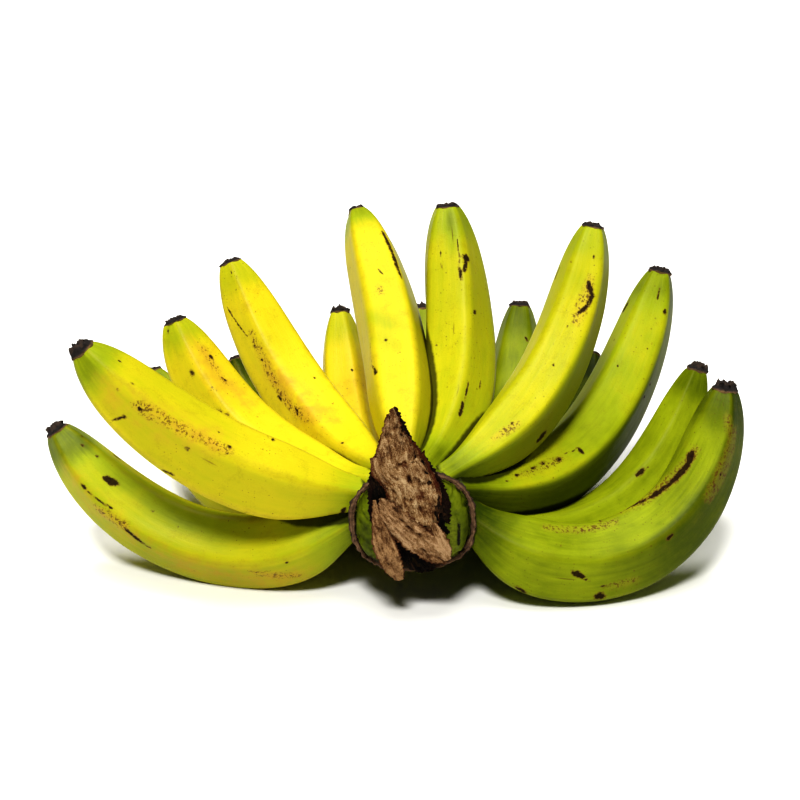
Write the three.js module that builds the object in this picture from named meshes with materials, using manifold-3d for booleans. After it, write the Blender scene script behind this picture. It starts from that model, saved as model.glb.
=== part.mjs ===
// A hand of bananas, cut from its plant with a slice of the stalk still on it. Sixteen fingers grow in two
// rows from one crown. It lies on its lowest bellies, with the stalk slice at the front and the tips up.
// Millimetres, +Z up. +X is the hand's right and +Y its back, where the middle fingers reach.
import * as THREE from "three";
import { mergeVertices } from "three/addons/utils/BufferGeometryUtils.js";
import Module from "manifold-3d";

const wasm = await Module();
wasm.setup();

// Clearance between pieces that touch.
const GAP = 0.3;
// The height, in the fingers' own measure, of the surface that the hand lies on and that flattens it.
const GROUND = 0.4;
// What puts the middle of the hand's box over the origin, and the surface at zero.
const HAND_PLACE = new THREE.Vector3(1.6, -10.3, -GROUND);

// Fingers. A finger's section has five faces that meet in rounded ridges.
const FINGER_SIDES = 20;
const FINGER_STEPS = 13;
const FACES = 5;
const RIDGE_SHARPNESS = 9;
// Share of the bend that gathers in the middle of a finger.
const BEND_FOCUS = 0.6;
// Girth at the neck and at the tip, as a share of the full thickness, and how fast each swells to it.
const NECK_GIRTH = 0.42;
const NECK_SWELL = 2.2;
const TIP_GIRTH = 0.33;
const TIP_REACH = 0.13;
const TIP_SWELL = 0.9;
// How far the slim neck sits towards the finger's inner side, as a share of what it lacks in radius.
const NECK_OFFSET = 0.3;

// Each finger, from the hand's left to its right: the place of its neck, how its axis turns from the back
// towards the right and how it climbs, each at the neck and at the tip, its length along the curve, its
// thickness, the share of the length that the slim neck takes, and the roll of its faces. Degrees and mm.
// An upper neck's place is an angle round the crown from its top, and a lower one's is its X.
const UPPER_ROW = [
  { place: -104, turn: [-77, -75], climb: [-34, 54], length: 168, thick: 33, neck: 0.16, roll: -22 },
  { place: -80, turn: [-92, -89], climb: [10, 51], length: 145, thick: 35, neck: 0.2, roll: 20 },
  { place: -56, turn: [-49, -56], climb: [-15, 62], length: 144, thick: 32.5, neck: 0.22, roll: 4 },
  { place: -32, turn: [-20, -47], climb: [-15, 59], length: 175, thick: 32, neck: 0.24, roll: 5 },
  { place: -12, turn: [0, -17], climb: [23, 29], length: 171, thick: 30.5, neck: 0.19, roll: 9 },
  { place: 14, turn: [22, -18], climb: [3, 74], length: 158, thick: 33, neck: 0.25, roll: 26 },
  { place: 40, turn: [48, 32], climb: [10, 72], length: 151, thick: 29.5, neck: 0.22, roll: 42 },
  { place: 66, turn: [47, 34], climb: [-20, 65], length: 189, thick: 32.5, neck: 0.2, roll: 42 },
  { place: 98, turn: [99, 41], climb: [-39, 77], length: 173, thick: 34, neck: 0.15, roll: -24 },
];
const LOWER_ROW = [
  { place: -10, turn: [-45, -42], climb: [-29, 46], length: 174, thick: 31, neck: 0.22, roll: 12 },
  { place: -4, turn: [-26, -31], climb: [-26, 40], length: 174, thick: 30, neck: 0.25, roll: -10 },
  { place: 3, turn: [-13, -10], climb: [-29, 62], length: 181, thick: 29, neck: 0.22, roll: 20 },
  { place: 9, turn: [6, -3], climb: [-28, 65], length: 176, thick: 30.5, neck: 0.25, roll: 0 },
  { place: 15, turn: [27, 9], climb: [-29, 68], length: 182, thick: 30.5, neck: 0.25, roll: -4 },
  { place: 21, turn: [46, 15], climb: [-29, 51], length: 170, thick: 30, neck: 0.25, roll: 8 },
  { place: 26, turn: [70, 41], climb: [-34, 66], length: 172, thick: 29, neck: 0.22, roll: 22 },
];
// The upper necks stand on an arch over the crown, and the lower ones on a shallow one under it.
const UPPER_ARCH = { x: 8.5, y: -53.5, z: 42, halfWidth: 18.5, rise: 13, sweep: 8.4 };
const LOWER_ARCH = { x: 8.5, y: -45.5, z: 31, sweep: 0.025, rise: 0.015 };

// Blossom ends: the dry black scar at each tip, a short crumpled plug.
const BLOSSOM = { sides: 10, length: 3.6, flare: 1.12, crumple: 0.16, ragged: 0.9 };

// The crown: a cushion of flesh with rounded-box sections that swell and close from its front to its back.
const CROWN = { x: 8.5, z: 41, halfWidth: 24.5, halfHeight: 20.5, squareness: 2.6, sides: 28 };
const CROWN_PROFILE = [
  { y: -82, share: 0.78 },
  { y: -78, share: 0.9 },
  { y: -73, share: 0.97 },
  { y: -66, share: 1 },
  { y: -59, share: 1 },
  { y: -52, share: 0.97 },
  { y: -46, share: 0.85 },
  { y: -41, share: 0.6 },
  { y: -38, share: 0.28 },
];

// The rim: the dry scar of the bract, a thin ragged ring round the crown in front of the necks.
const RIM = { y: -68.5, radial: 1.5, axial: 1.3, wave: 1.1, waves: 3, steps: 44, sides: 6 };
const RIM_RAGGED = { depth: 0.35, waves: 17, swells: 5 };

// The stalk slice: a tall pointed plate of fibre, thick in its middle, that leans out towards its top.
const SLICE = { frontBulge: 4.2, backBulge: 3.6, lean: -4 / 84, y: -79.6, z: 55, sides: 24, steps: 15 };
const SLICE_FIBRE = { depth: 0.5, pitch: 2.6, wander: 0.5, ragged: 0.7 };
// Its outline: height, the middle of its width there, and its half width.
const SLICE_OUTLINE = [
  { z: 24, x: 19, half: 3 },
  { z: 27.5, x: 15.5, half: 9 },
  { z: 33, x: 13, half: 12 },
  { z: 38, x: 11, half: 13.8 },
  { z: 44, x: 8.6, half: 15.4 },
  { z: 52, x: 6.5, half: 16.8 },
  { z: 62, x: 4.5, half: 15.5 },
  { z: 71, x: 3, half: 13 },
  { z: 80, x: 1.8, half: 8.8 },
  { z: 89, x: 1.3, half: 5 },
  { z: 96, x: 1, half: 2.4 },
  { z: 99, x: 1, half: 0.9 },
];

// The torn flap: a strip of fibre that has peeled off the slice's lower left and hangs in front of it.
const FLAP_PATH = [
  [-8.4, -83, 54],
  [-6.2, -85, 44],
  [-3.2, -85.8, 34],
  [-0.6, -85, 25],
  [1.8, -83.4, 17],
];
const FLAP = { half: 5, tipHalf: 1.2, thick: 1.1, steps: 10, sides: 8 };

// The hand ripens from its left, and this is how far each way the change from green to yellow spreads.
const RIPE_SPREAD = 0.75;
const YELLOW = 0xe3cf1e;
const GREEN = 0x8fae1c;
const CROWN_GREEN = 0x86a02c;
const SCAR_BLACK = 0x2a2018;
const RIM_BROWN = 0x6f4d2b;
const FIBRE_BROWN = 0x6d5342;
const FLAP_BROWN = 0x80604a;

const radians = THREE.MathUtils.degToRad;
const lerp = THREE.MathUtils.lerp;

// A repeatable random number between 0 and 1, from a seed that each call moves on.
function seeded(seed) {
  let state = seed;
  return () => {
    state = (state * 16807) % 2147483647;
    return state / 2147483647;
  };
}

// A closed solid through a row of rings, which run counter-clockwise seen from the last one. A loop of rings
// closes on itself, and an open row is closed by a fan over each end.
function loft(rings, closesOnItself = false) {
  const count = rings[0].length;
  const points = rings.flat();
  const indices = [];
  const rows = closesOnItself ? rings.length : rings.length - 1;
  for (let row = 0; row < rows; row++) {
    const here = row * count;
    const next = ((row + 1) % rings.length) * count;
    for (let j = 0; j < count; j++) {
      const k = (j + 1) % count;
      indices.push(here + j, here + k, next + k, here + j, next + k, next + j);
    }
  }
  if (!closesOnItself) {
    const last = (rings.length - 1) * count;
    for (let j = 1; j < count - 1; j++) {
      indices.push(0, j + 1, j);
      indices.push(last, last + j, last + j + 1);
    }
  }
  const geometry = new THREE.BufferGeometry().setFromPoints(points);
  geometry.setIndex(indices);
  return geometry;
}

function toSolid(geometry) {
  const bare = geometry.clone();
  bare.deleteAttribute("normal");
  bare.deleteAttribute("uv");
  const merged = mergeVertices(bare, 1e-4);
  const solid = new wasm.Mesh({
    numProp: 3,
    vertProperties: merged.attributes.position.array,
    triVerts: new Uint32Array(merged.index.array),
  });
  return new wasm.Manifold(solid);
}

// The largest body of a solid, so that a scrap cut loose is dropped.
function largest(solid) {
  const bodies = solid.decompose();
  bodies.sort((a, b) => b.volume() - a.volume());
  return bodies[0];
}

function toMesh(name, solid, colour, roughness) {
  const made = solid.getMesh();
  const geometry = new THREE.BufferGeometry();
  const positions = new Float32Array(made.numVert * 3);
  for (let i = 0; i < made.numVert; i++) {
    const start = i * made.numProp;
    positions.set(made.vertProperties.subarray(start, start + 3), i * 3);
  }
  geometry.setAttribute("position", new THREE.BufferAttribute(positions, 3));
  geometry.setIndex(new THREE.BufferAttribute(made.triVerts, 1));
  geometry.computeVertexNormals();
  const material = new THREE.MeshStandardMaterial({ color: colour, roughness, metalness: 0 });
  const mesh = new THREE.Mesh(geometry, material);
  mesh.name = name;
  return mesh;
}

function upperNeck(place) {
  const angle = radians(place);
  const x = UPPER_ARCH.x + UPPER_ARCH.halfWidth * Math.sin(angle);
  const y = UPPER_ARCH.y - UPPER_ARCH.sweep * Math.sin(angle / 2) ** 2;
  const z = UPPER_ARCH.z + UPPER_ARCH.rise * Math.cos(angle);
  return new THREE.Vector3(x, y, z);
}

function lowerNeck(place) {
  const aside = (place - LOWER_ARCH.x) ** 2;
  const y = LOWER_ARCH.y - LOWER_ARCH.sweep * aside;
  const z = LOWER_ARCH.z + LOWER_ARCH.rise * aside;
  return new THREE.Vector3(place, y, z);
}

// The share of a finger's bend that lies between its neck and s.
function bendShare(s) {
  return (1 - BEND_FOCUS) * s + BEND_FOCUS * s * s * (3 - 2 * s);
}

// A finger's axis direction at s, with its level side direction and the direction of its inner side.
function axisFrame(finger, s) {
  const turn = radians(lerp(...finger.turn, bendShare(s)));
  const climb = radians(lerp(...finger.climb, bendShare(s)));
  const along = new THREE.Vector3(
    Math.sin(turn) * Math.cos(climb),
    Math.cos(turn) * Math.cos(climb),
    Math.sin(climb),
  );
  const side = new THREE.Vector3(Math.cos(turn), -Math.sin(turn), 0);
  const inner = side.clone().cross(along);
  return { along, side, inner };
}

// The point on a finger's axis at s, by steps of the axis direction from the neck.
function axisPoint(finger, neckPoint, s) {
  const steps = Math.max(1, Math.round(s * 96));
  const point = neckPoint.clone();
  for (let i = 0; i < steps; i++) {
    const middle = ((i + 0.5) / steps) * s;
    point.addScaledVector(axisFrame(finger, middle).along, (finger.length * s) / steps);
  }
  return point;
}

// A finger's radius at s: slim at the neck, full along the body, tapered to the tip.
function fingerRadius(finger, s) {
  const neck = 1 - (1 - NECK_GIRTH) * Math.exp(-((s / finger.neck) ** NECK_SWELL));
  const tip = 1 - (1 - TIP_GIRTH) * Math.exp(-(((1 - s) / TIP_REACH) ** TIP_SWELL));
  return (finger.thick / 2) * neck * tip;
}

// The radius of the five-faced section at an angle from the inner side, before it is scaled to a mean of 1.
function fivefold(angle, roll) {
  let sum = 0;
  for (let face = 0; face < FACES; face++) {
    const facing = Math.cos(angle + roll - (face * 2 * Math.PI) / FACES);
    sum += Math.max(facing, 0) ** RIDGE_SHARPNESS;
  }
  return sum ** (-1 / RIDGE_SHARPNESS);
}

const FIVEFOLD_MEAN = (() => {
  const samples = 360;
  let sum = 0;
  for (let i = 0; i < samples; i++) sum += fivefold(radians(i), 0);
  return sum / samples;
})();

// A finger from neck to tip, its skin moved out by grow.
function fingerSolid(finger, neckPoint, grow) {
  const rings = [];
  for (let step = 0; step <= FINGER_STEPS; step++) {
    const even = step / FINGER_STEPS;
    const s = even - 0.08 * Math.sin(2 * Math.PI * even);
    const { along, side, inner } = axisFrame(finger, s);
    const radius = fingerRadius(finger, s);
    const centre = axisPoint(finger, neckPoint, s);
    if (s < 0.5) centre.addScaledVector(inner, (finger.thick / 2 - radius) * NECK_OFFSET);
    if (step === FINGER_STEPS) centre.addScaledVector(along, grow);
    const ring = [];
    for (let j = 0; j < FINGER_SIDES; j++) {
      const angle = (j / FINGER_SIDES) * 2 * Math.PI;
      const reach = (radius * fivefold(angle, radians(finger.roll))) / FIVEFOLD_MEAN + grow;
      const point = centre.clone().addScaledVector(inner, reach * Math.cos(angle));
      ring.push(point.addScaledVector(side, reach * Math.sin(angle)));
    }
    rings.push(ring);
  }
  return toSolid(loft(rings));
}

// The dry plug on a finger's tip: it flares past the skin and ends in a ragged, hollowed face.
function blossomSolid(finger, neckPoint, random) {
  const { along, side, inner } = axisFrame(finger, 1);
  const radius = fingerRadius(finger, 1);
  const tip = axisPoint(finger, neckPoint, 1).addScaledVector(along, GAP);
  const levels = [
    { out: 0, girth: 0.94, crumple: 0.3, ragged: 0 },
    { out: 0.35, girth: BLOSSOM.flare, crumple: 1, ragged: 0.3 },
    { out: 1, girth: 0.92, crumple: 1, ragged: 1 },
  ];
  const phase = random() * 2 * Math.PI;
  const rings = levels.map(({ out, girth, crumple, ragged }) => {
    const ring = [];
    for (let j = 0; j < BLOSSOM.sides; j++) {
      const angle = (j / BLOSSOM.sides) * 2 * Math.PI;
      const lobes = Math.cos(FACES * angle + phase) * 0.5 + (random() - 0.5);
      const reach = radius * girth * (1 + BLOSSOM.crumple * crumple * lobes);
      const lift = BLOSSOM.length * out + BLOSSOM.ragged * ragged * (random() - 0.5);
      const point = tip.clone().addScaledVector(along, lift);
      point.addScaledVector(inner, reach * Math.cos(angle));
      ring.push(point.addScaledVector(side, reach * Math.sin(angle)));
    }
    return ring;
  });
  return toSolid(loft(rings));
}

// A point of the rounded-box loop round the crown, at an angle from its top.
function crownLoop(angle, y, halfWidth, halfHeight) {
  const power = 2 / CROWN.squareness;
  const across = Math.sign(Math.sin(angle)) * Math.abs(Math.sin(angle)) ** power;
  const up = Math.sign(Math.cos(angle)) * Math.abs(Math.cos(angle)) ** power;
  return new THREE.Vector3(CROWN.x + halfWidth * across, y, CROWN.z + halfHeight * up);
}

function crownSolid(grow) {
  const rings = CROWN_PROFILE.map(({ y, share }, i) => {
    const end = i === CROWN_PROFILE.length - 1 ? grow : 0;
    const ring = [];
    for (let j = 0; j < CROWN.sides; j++) {
      const angle = ((j + 0.5) / CROWN.sides) * 2 * Math.PI;
      ring.push(crownLoop(angle, y + end, CROWN.halfWidth * share + grow, CROWN.halfHeight * share + grow));
    }
    return ring;
  });
  return toSolid(loft(rings));
}

// The rim's ring stands clear of the crown's skin by the gap.
function rimSolid(grow) {
  const rings = [];
  const out = RIM.radial + GAP + 0.2;
  for (let step = 0; step < RIM.steps; step++) {
    const angle = (step / RIM.steps) * 2 * Math.PI;
    const y = RIM.y + RIM.wave * Math.sin(RIM.waves * angle + 1);
    const centre = crownLoop(angle, y, CROWN.halfWidth + out, CROWN.halfHeight + out);
    const outward = new THREE.Vector3(centre.x - CROWN.x, 0, centre.z - CROWN.z).normalize();
    const swell = Math.sin(RIM_RAGGED.swells * angle + 2);
    const ragged = RIM_RAGGED.depth * swell * Math.sin(RIM_RAGGED.waves * angle);
    const ring = [];
    for (let j = 0; j < RIM.sides; j++) {
      const turn = (j / RIM.sides) * 2 * Math.PI;
      const point = centre.clone();
      point.y += (RIM.axial + grow) * Math.cos(turn);
      ring.push(point.addScaledVector(outward, (RIM.radial + grow + ragged) * Math.sin(turn)));
    }
    rings.push(ring);
  }
  return toSolid(loft(rings, true));
}

// The slice's outline at a height, between the two rows of the outline that hold it.
function sliceAt(z) {
  const above = SLICE_OUTLINE.findIndex((row) => row.z >= z);
  const high = SLICE_OUTLINE[Math.max(above, 1)];
  const low = SLICE_OUTLINE[Math.max(above, 1) - 1];
  const share = (z - low.z) / (high.z - low.z);
  return { x: lerp(low.x, high.x, share), half: lerp(low.half, high.half, share) };
}

function sliceSolid(grow) {
  const random = seeded(11);
  const bottom = SLICE_OUTLINE[0].z;
  const top = SLICE_OUTLINE[SLICE_OUTLINE.length - 1].z;
  const widest = Math.max(...SLICE_OUTLINE.map((row) => row.half));
  const rings = [];
  for (let step = 0; step <= SLICE.steps; step++) {
    const end = step === 0 ? -grow : step === SLICE.steps ? grow : 0;
    const z = lerp(bottom, top, step / SLICE.steps);
    const { x, half } = sliceAt(z);
    const fill = Math.sqrt(half / widest);
    const shift = SLICE_FIBRE.wander * Math.sin(z * 0.21);
    const edge = SLICE_FIBRE.ragged * (random() - 0.5);
    const ring = [];
    for (let j = 0; j < SLICE.sides; j++) {
      const angle = ((j + 0.5) / SLICE.sides) * 2 * Math.PI;
      const across = (half + edge + grow) * Math.cos(angle);
      const bulge = Math.sin(angle) < 0 ? SLICE.frontBulge : SLICE.backBulge;
      const depth = bulge * fill * Math.abs(Math.sin(angle)) ** 0.7 + grow;
      const fibre = SLICE_FIBRE.depth * Math.sin(((across + shift) * 2 * Math.PI) / SLICE_FIBRE.pitch);
      const y = Math.sign(Math.sin(angle)) * (depth + fibre * Math.abs(Math.sin(angle)));
      ring.push(new THREE.Vector3(x + across, SLICE.y + SLICE.lean * (z - SLICE.z) + y, z + end));
    }
    rings.push(ring);
  }
  return toSolid(loft(rings));
}

function flapSolid() {
  const path = new THREE.CatmullRomCurve3(FLAP_PATH.map((point) => new THREE.Vector3(...point)));
  const outward = new THREE.Vector3(0, -1, 0);
  const rings = [];
  for (let step = 0; step <= FLAP.steps; step++) {
    const s = step / FLAP.steps;
    const along = path.getTangent(s);
    const across = along.clone().cross(outward).normalize();
    const front = across.clone().cross(along);
    const half = lerp(FLAP.tipHalf, FLAP.half, Math.sin(Math.PI * (0.12 + 0.86 * s ** 1.3)));
    const ring = [];
    for (let j = 0; j < FLAP.sides; j++) {
      const angle = (j / FLAP.sides) * 2 * Math.PI;
      const point = path.getPoint(s).addScaledVector(across, half * Math.cos(angle));
      ring.push(point.addScaledVector(front, -FLAP.thick * Math.sin(angle)));
    }
    rings.push(ring);
  }
  return toSolid(loft(rings));
}

// The surface that the hand rests on flattens the lowest bellies.
function groundBlock() {
  const depth = 20;
  const block = new THREE.BoxGeometry(600, 600, depth);
  block.translate(0, 0, GROUND - depth / 2);
  return toSolid(block);
}

const slice = sliceSolid(0);
const sliceSpace = sliceSolid(GAP);
const crown = crownSolid(0).subtract(sliceSpace);
const crownSpace = crownSolid(GAP);
const rim = rimSolid(0).subtract(crownSpace).subtract(sliceSpace);
const flap = flapSolid().subtract(sliceSpace).subtract(crownSpace);
const ground = groundBlock();

const hand = new THREE.Group();
hand.name = "banana_hand";
const random = seeded(7);
let taken = crownSpace.add(rimSolid(GAP));

function addRow(rowName, row, neckOf) {
  row.forEach((finger, i) => {
    const neckPoint = neckOf(finger.place);
    const body = fingerSolid(finger, neckPoint, 0).subtract(taken).subtract(ground);
    taken = taken.add(fingerSolid(finger, neckPoint, GAP));
    const leftness = -Math.sin(radians(finger.turn[0]));
    const ripeness = THREE.MathUtils.smoothstep(leftness, -RIPE_SPREAD, RIPE_SPREAD);
    const colour = new THREE.Color(GREEN).lerp(new THREE.Color(YELLOW), ripeness);
    hand.add(toMesh(`finger_${rowName}_${i + 1}`, largest(body), colour, 0.45));
    const blossom = blossomSolid(finger, neckPoint, random);
    hand.add(toMesh(`blossom_end_${rowName}_${i + 1}`, blossom, SCAR_BLACK, 0.95));
  });
}

addRow("upper", UPPER_ROW, upperNeck);
addRow("lower", LOWER_ROW, lowerNeck);
hand.add(toMesh("crown", largest(crown), CROWN_GREEN, 0.55));
hand.add(toMesh("crown_rim", largest(rim), RIM_BROWN, 0.9));
hand.add(toMesh("stalk_slice", slice, FIBRE_BROWN, 0.95));
hand.add(toMesh("stalk_flap", largest(flap), FLAP_BROWN, 0.95));
hand.position.copy(HAND_PLACE);

export default hand;
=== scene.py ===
"""The finished look of a hand of bananas that has been cut from its plant.

Sixteen fingers grow in two rows from one crown, riper at the left than at the right. Each ends in a dry
blossom end. A ragged rim runs round the crown, and in front stands the slice of stalk that the hand was cut
with, torn into layers of fibre, with one flap that has peeled off it. Sizes are millimetres until a mesh is
made, and the angles in tables are degrees.
"""

import logging
import math
from dataclasses import dataclass, field
from enum import Enum

import bpy
import numpy as np
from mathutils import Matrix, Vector, noise


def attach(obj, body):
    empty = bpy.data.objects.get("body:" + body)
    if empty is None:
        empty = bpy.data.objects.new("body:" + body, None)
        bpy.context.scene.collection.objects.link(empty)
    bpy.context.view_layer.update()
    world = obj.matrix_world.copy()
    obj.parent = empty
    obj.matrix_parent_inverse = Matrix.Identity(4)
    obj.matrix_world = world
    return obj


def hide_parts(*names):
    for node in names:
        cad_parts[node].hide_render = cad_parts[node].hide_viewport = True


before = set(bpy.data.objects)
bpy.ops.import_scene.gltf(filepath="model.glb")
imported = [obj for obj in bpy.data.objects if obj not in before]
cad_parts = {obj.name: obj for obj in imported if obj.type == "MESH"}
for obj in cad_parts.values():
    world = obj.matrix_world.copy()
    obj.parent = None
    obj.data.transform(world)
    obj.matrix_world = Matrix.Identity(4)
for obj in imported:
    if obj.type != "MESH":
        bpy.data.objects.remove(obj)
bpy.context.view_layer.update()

log = logging.getLogger("banana_hand")

MM = 0.001
BODY = "root"

# From the measure in which the fingers grow to the one in which the hand lies on its surface.
HAND_PLACE = np.array([1.6, -10.3, -0.4])
# The least height of any skin over the surface, where the weight of the hand flattens it.
LEAST_HEIGHT = 0.04

Colour = tuple[float, float, float]


def srgb(red: int, green: int, blue: int) -> Colour:
    """Turns a colour as a screen shows it into a linear one.

    Args:
        red: The red share, from 0 to 255.
        green: The green share, from 0 to 255.
        blue: The blue share, from 0 to 255.

    Returns:
        The three linear shares, from 0 to 1.
    """
    shares = [value / 255 for value in (red, green, blue)]
    return tuple(s / 12.92 if s <= 0.04045 else ((s + 0.055) / 1.055) ** 2.4 for s in shares)


class Slot(Enum):
    """The record's material slots."""

    PEEL_YELLOW = "peel_yellow"
    PEEL_TURNING = "peel_turning"
    PEEL_GREEN = "peel_green"
    BLOSSOM_SCAR = "blossom_scar"
    CROWN_FLESH = "crown_flesh"
    BRACT_SCAR = "bract_scar"
    STALK_FIBRE = "stalk_fibre"


class MarkKind(Enum):
    """What a mark on the peel is, which is also the name of the mesh attribute that holds it."""

    SCAR = "scar"
    SPECKS = "specks"
    STAIN = "stain"
    RUBBED = "rubbed"
    # Painted shade: faces darkened and made greener where the light is taken not to reach.
    SHADY = "shady"


# Node trees, written as Python expressions


class Wire:
    """An output of a node that takes part in Python arithmetic."""

    def __init__(self, board: "Board", socket: bpy.types.NodeSocket) -> None:
        """Keeps the tree and the socket."""
        self.board = board
        self.socket = socket

    @property
    def wide(self) -> bool:
        """Whether the socket carries a vector or a colour."""
        return self.socket.type in {"VECTOR", "RGBA"}

    def out(self, name: str) -> "Wire":
        """Another output of the same node.

        Args:
            name: The output's name.

        Returns:
            That output.
        """
        return Wire(self.board, self.board.pick(self.socket.node.outputs, name))

    def __add__(self, other: object) -> "Wire":
        """self + other."""
        return self.board.maths("ADD", self, other)

    __radd__ = __add__

    def __sub__(self, other: object) -> "Wire":
        """self - other."""
        return self.board.maths("SUBTRACT", self, other)

    def __rsub__(self, other: object) -> "Wire":
        """other - self."""
        return self.board.maths("SUBTRACT", other, self)

    def __mul__(self, other: object) -> "Wire":
        """self * other."""
        return self.board.maths("MULTIPLY", self, other)

    __rmul__ = __mul__

    def __truediv__(self, other: object) -> "Wire":
        """self / other."""
        return self.board.maths("DIVIDE", self, other)

    def __rtruediv__(self, other: object) -> "Wire":
        """other / self."""
        return self.board.maths("DIVIDE", other, self)

    def __pow__(self, other: object) -> "Wire":
        """self ** other, for numbers."""
        return self.board.maths("POWER", self, other)

    def __neg__(self) -> "Wire":
        """-self."""
        return self.board.maths("MULTIPLY", self, -1.0)


class Board:
    """A node tree that is built by calls."""

    def __init__(self, tree: bpy.types.NodeTree) -> None:
        """Keeps the tree."""
        self.tree = tree

    @staticmethod
    def pick(sockets: object, key: object) -> bpy.types.NodeSocket:
        """Finds a socket by its index, or by its name among those in use.

        Args:
            sockets: A node's inputs or outputs.
            key: The index or the name.

        Returns:
            The socket.
        """
        if isinstance(key, int):
            return sockets[key]
        named = [socket for socket in sockets if socket.name == key]
        return next((socket for socket in named if socket.enabled), named[0])

    def make(self, kind: str, settings: dict, inputs: dict, output: object = 0) -> Wire:
        """Adds a node.

        Args:
            kind: The node's type.
            settings: Its properties, set first. A ramp's are under "stops", as places and colours.
            inputs: A value or a Wire for each named or numbered input.
            output: The name or number of the output that is wanted.

        Returns:
            That output.
        """
        node = self.tree.nodes.new(kind)
        for name, value in settings.items():
            if name == "stops":
                self._set_stops(node.color_ramp, value)
            else:
                setattr(node, name, value)
        for key, value in inputs.items():
            self.feed(self.pick(node.inputs, key), value)
        return Wire(self, self.pick(node.outputs, output)) if node.outputs else Wire(self, node.inputs[0])

    @staticmethod
    def _set_stops(ramp: bpy.types.ColorRamp, stops: list[tuple[float, Colour]]) -> None:
        """Gives a colour ramp its stops."""
        while len(ramp.elements) < len(stops):
            ramp.elements.new(0.5)
        for element, (place, colour) in zip(ramp.elements, stops):
            element.position = place
            element.color = (*colour, 1.0)

    def feed(self, socket: bpy.types.NodeSocket, value: object) -> None:
        """Links a Wire to an input, or sets the input's value.

        Args:
            socket: The input.
            value: A Wire, a number, a colour or vector, a name or a material.
        """
        if isinstance(value, Wire):
            self.tree.links.new(value.socket, socket)
        elif socket.type == "RGBA" and len(value) == 3:
            socket.default_value = (*value, 1.0)
        elif socket.type == "VECTOR" and isinstance(value, (int, float)):
            socket.default_value = (value,) * 3
        else:
            socket.default_value = value

    def maths(self, operation: str, *values: object) -> Wire:
        """A Math node, or a Vector Math node where a value is a vector or a colour.

        Args:
            operation: The node's operation.
            values: Numbers, vectors or Wires.

        Returns:
            The result.
        """
        wide = [isinstance(v, (tuple, Vector)) or isinstance(v, Wire) and v.wide for v in values]
        if not any(wide):
            return self.make("ShaderNodeMath", {"operation": operation}, dict(enumerate(values)))
        if operation == "MULTIPLY" and not all(wide):
            vector, scale = (values[0], values[1]) if wide[0] else (values[1], values[0])
            return self.make("ShaderNodeVectorMath", {"operation": "SCALE"}, {0: vector, "Scale": scale})
        return self.make("ShaderNodeVectorMath", {"operation": operation}, dict(enumerate(values)))

    def combine(self, x: object, y: object, z: object) -> Wire:
        """A vector from three numbers."""
        return self.make("ShaderNodeCombineXYZ", {}, {0: x, 1: y, 2: z})

    def split(self, vector: Wire) -> tuple[Wire, Wire, Wire]:
        """The three numbers of a vector."""
        x = self.make("ShaderNodeSeparateXYZ", {}, {0: vector}, "X")
        return x, x.out("Y"), x.out("Z")

    def smooth(self, value: Wire, low: float, high: float) -> Wire:
        """A soft step of a value.

        Args:
            value: What is stepped.
            low: Where the step is 0. It may be over high, for a step down.
            high: Where the step is 1.

        Returns:
            The step, from 0 to 1.
        """
        start, end, first, last = (low, high, 0.0, 1.0) if low < high else (high, low, 1.0, 0.0)
        inputs = {0: value, 1: start, 2: end, 3: first, 4: last}
        return self.make("ShaderNodeMapRange", {"interpolation_type": "SMOOTHSTEP"}, inputs)

    def noise(self, place: Wire, scale: float, detail: float, rough: float, w: object = None) -> Wire:
        """Soft noise round 0.5.

        Args:
            place: Where in the noise the surface is.
            scale: Its features to a metre.
            detail: The number of finer layers.
            rough: How strong the finer layers are.
            w: The fourth coordinate, which tells one piece from another.

        Returns:
            The noise.
        """
        settings = {"noise_dimensions": "3D" if w is None else "4D"}
        inputs = {"Vector": place, "Scale": scale, "Detail": detail, "Roughness": rough}
        if w is not None:
            inputs["W"] = w
        return self.make("ShaderNodeTexNoise", settings, inputs)

    def mix(self, share: object, first: object, second: object) -> Wire:
        """A mix of two colours.

        Args:
            share: How much of the second there is, from 0 to 1.
            first: The colour at 0.
            second: The colour at 1.

        Returns:
            The colour.
        """
        settings = {"data_type": "RGBA", "blend_type": "MIX", "clamp_factor": True}
        return self.make("ShaderNodeMix", settings, {0: share, 6: first, 7: second}, 2)

    def ramp(self, value: Wire, stops: list[tuple[float, Colour]]) -> Wire:
        """A colour ramp."""
        return self.make("ShaderNodeValToRGB", {"stops": stops}, {0: value})


class ShaderBoard(Board):
    """The node tree of a new material."""

    def __init__(self, name: str) -> None:
        """Starts the material, and keeps its Principled BSDF node."""
        self.material = bpy.data.materials.new(name)
        self.material.use_nodes = True
        super().__init__(self.material.node_tree)
        self.shader = next(n for n in self.tree.nodes if n.type == "BSDF_PRINCIPLED")

    def attribute(self, name: str, output: str = "Fac") -> Wire:
        """A mesh attribute."""
        return self.make("ShaderNodeAttribute", {"attribute_name": name}, {}, output)

    def place(self) -> Wire:
        """The Object coordinates, in metres."""
        return self.make("ShaderNodeTexCoord", {}, {}, "Object")

    def coat(self, colour: Wire, roughness: object, sheen: float = 0.5) -> None:
        """Gives the surface its colour, its roughness and how strongly it shines.

        Args:
            colour: The colour.
            roughness: The roughness, from 0 to 1.
            sheen: The specular level.
        """
        values = {"Base Color": colour, "Roughness": roughness, "Specular IOR Level": sheen}
        for name, value in values.items():
            self.feed(self.shader.inputs[name], value)

    def raise_by(self, height: Wire, strength: float, depth: float) -> None:
        """Gives the surface its low relief.

        Args:
            height: How high each place is, from 0 to 1.
            strength: How much of the relief shows.
            depth: The depth of the relief, in metres.
        """
        bump = self.make("ShaderNodeBump", {}, {"Height": height, "Strength": strength, "Distance": depth})
        self.feed(self.shader.inputs["Normal"], bump)


# Finishes


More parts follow.
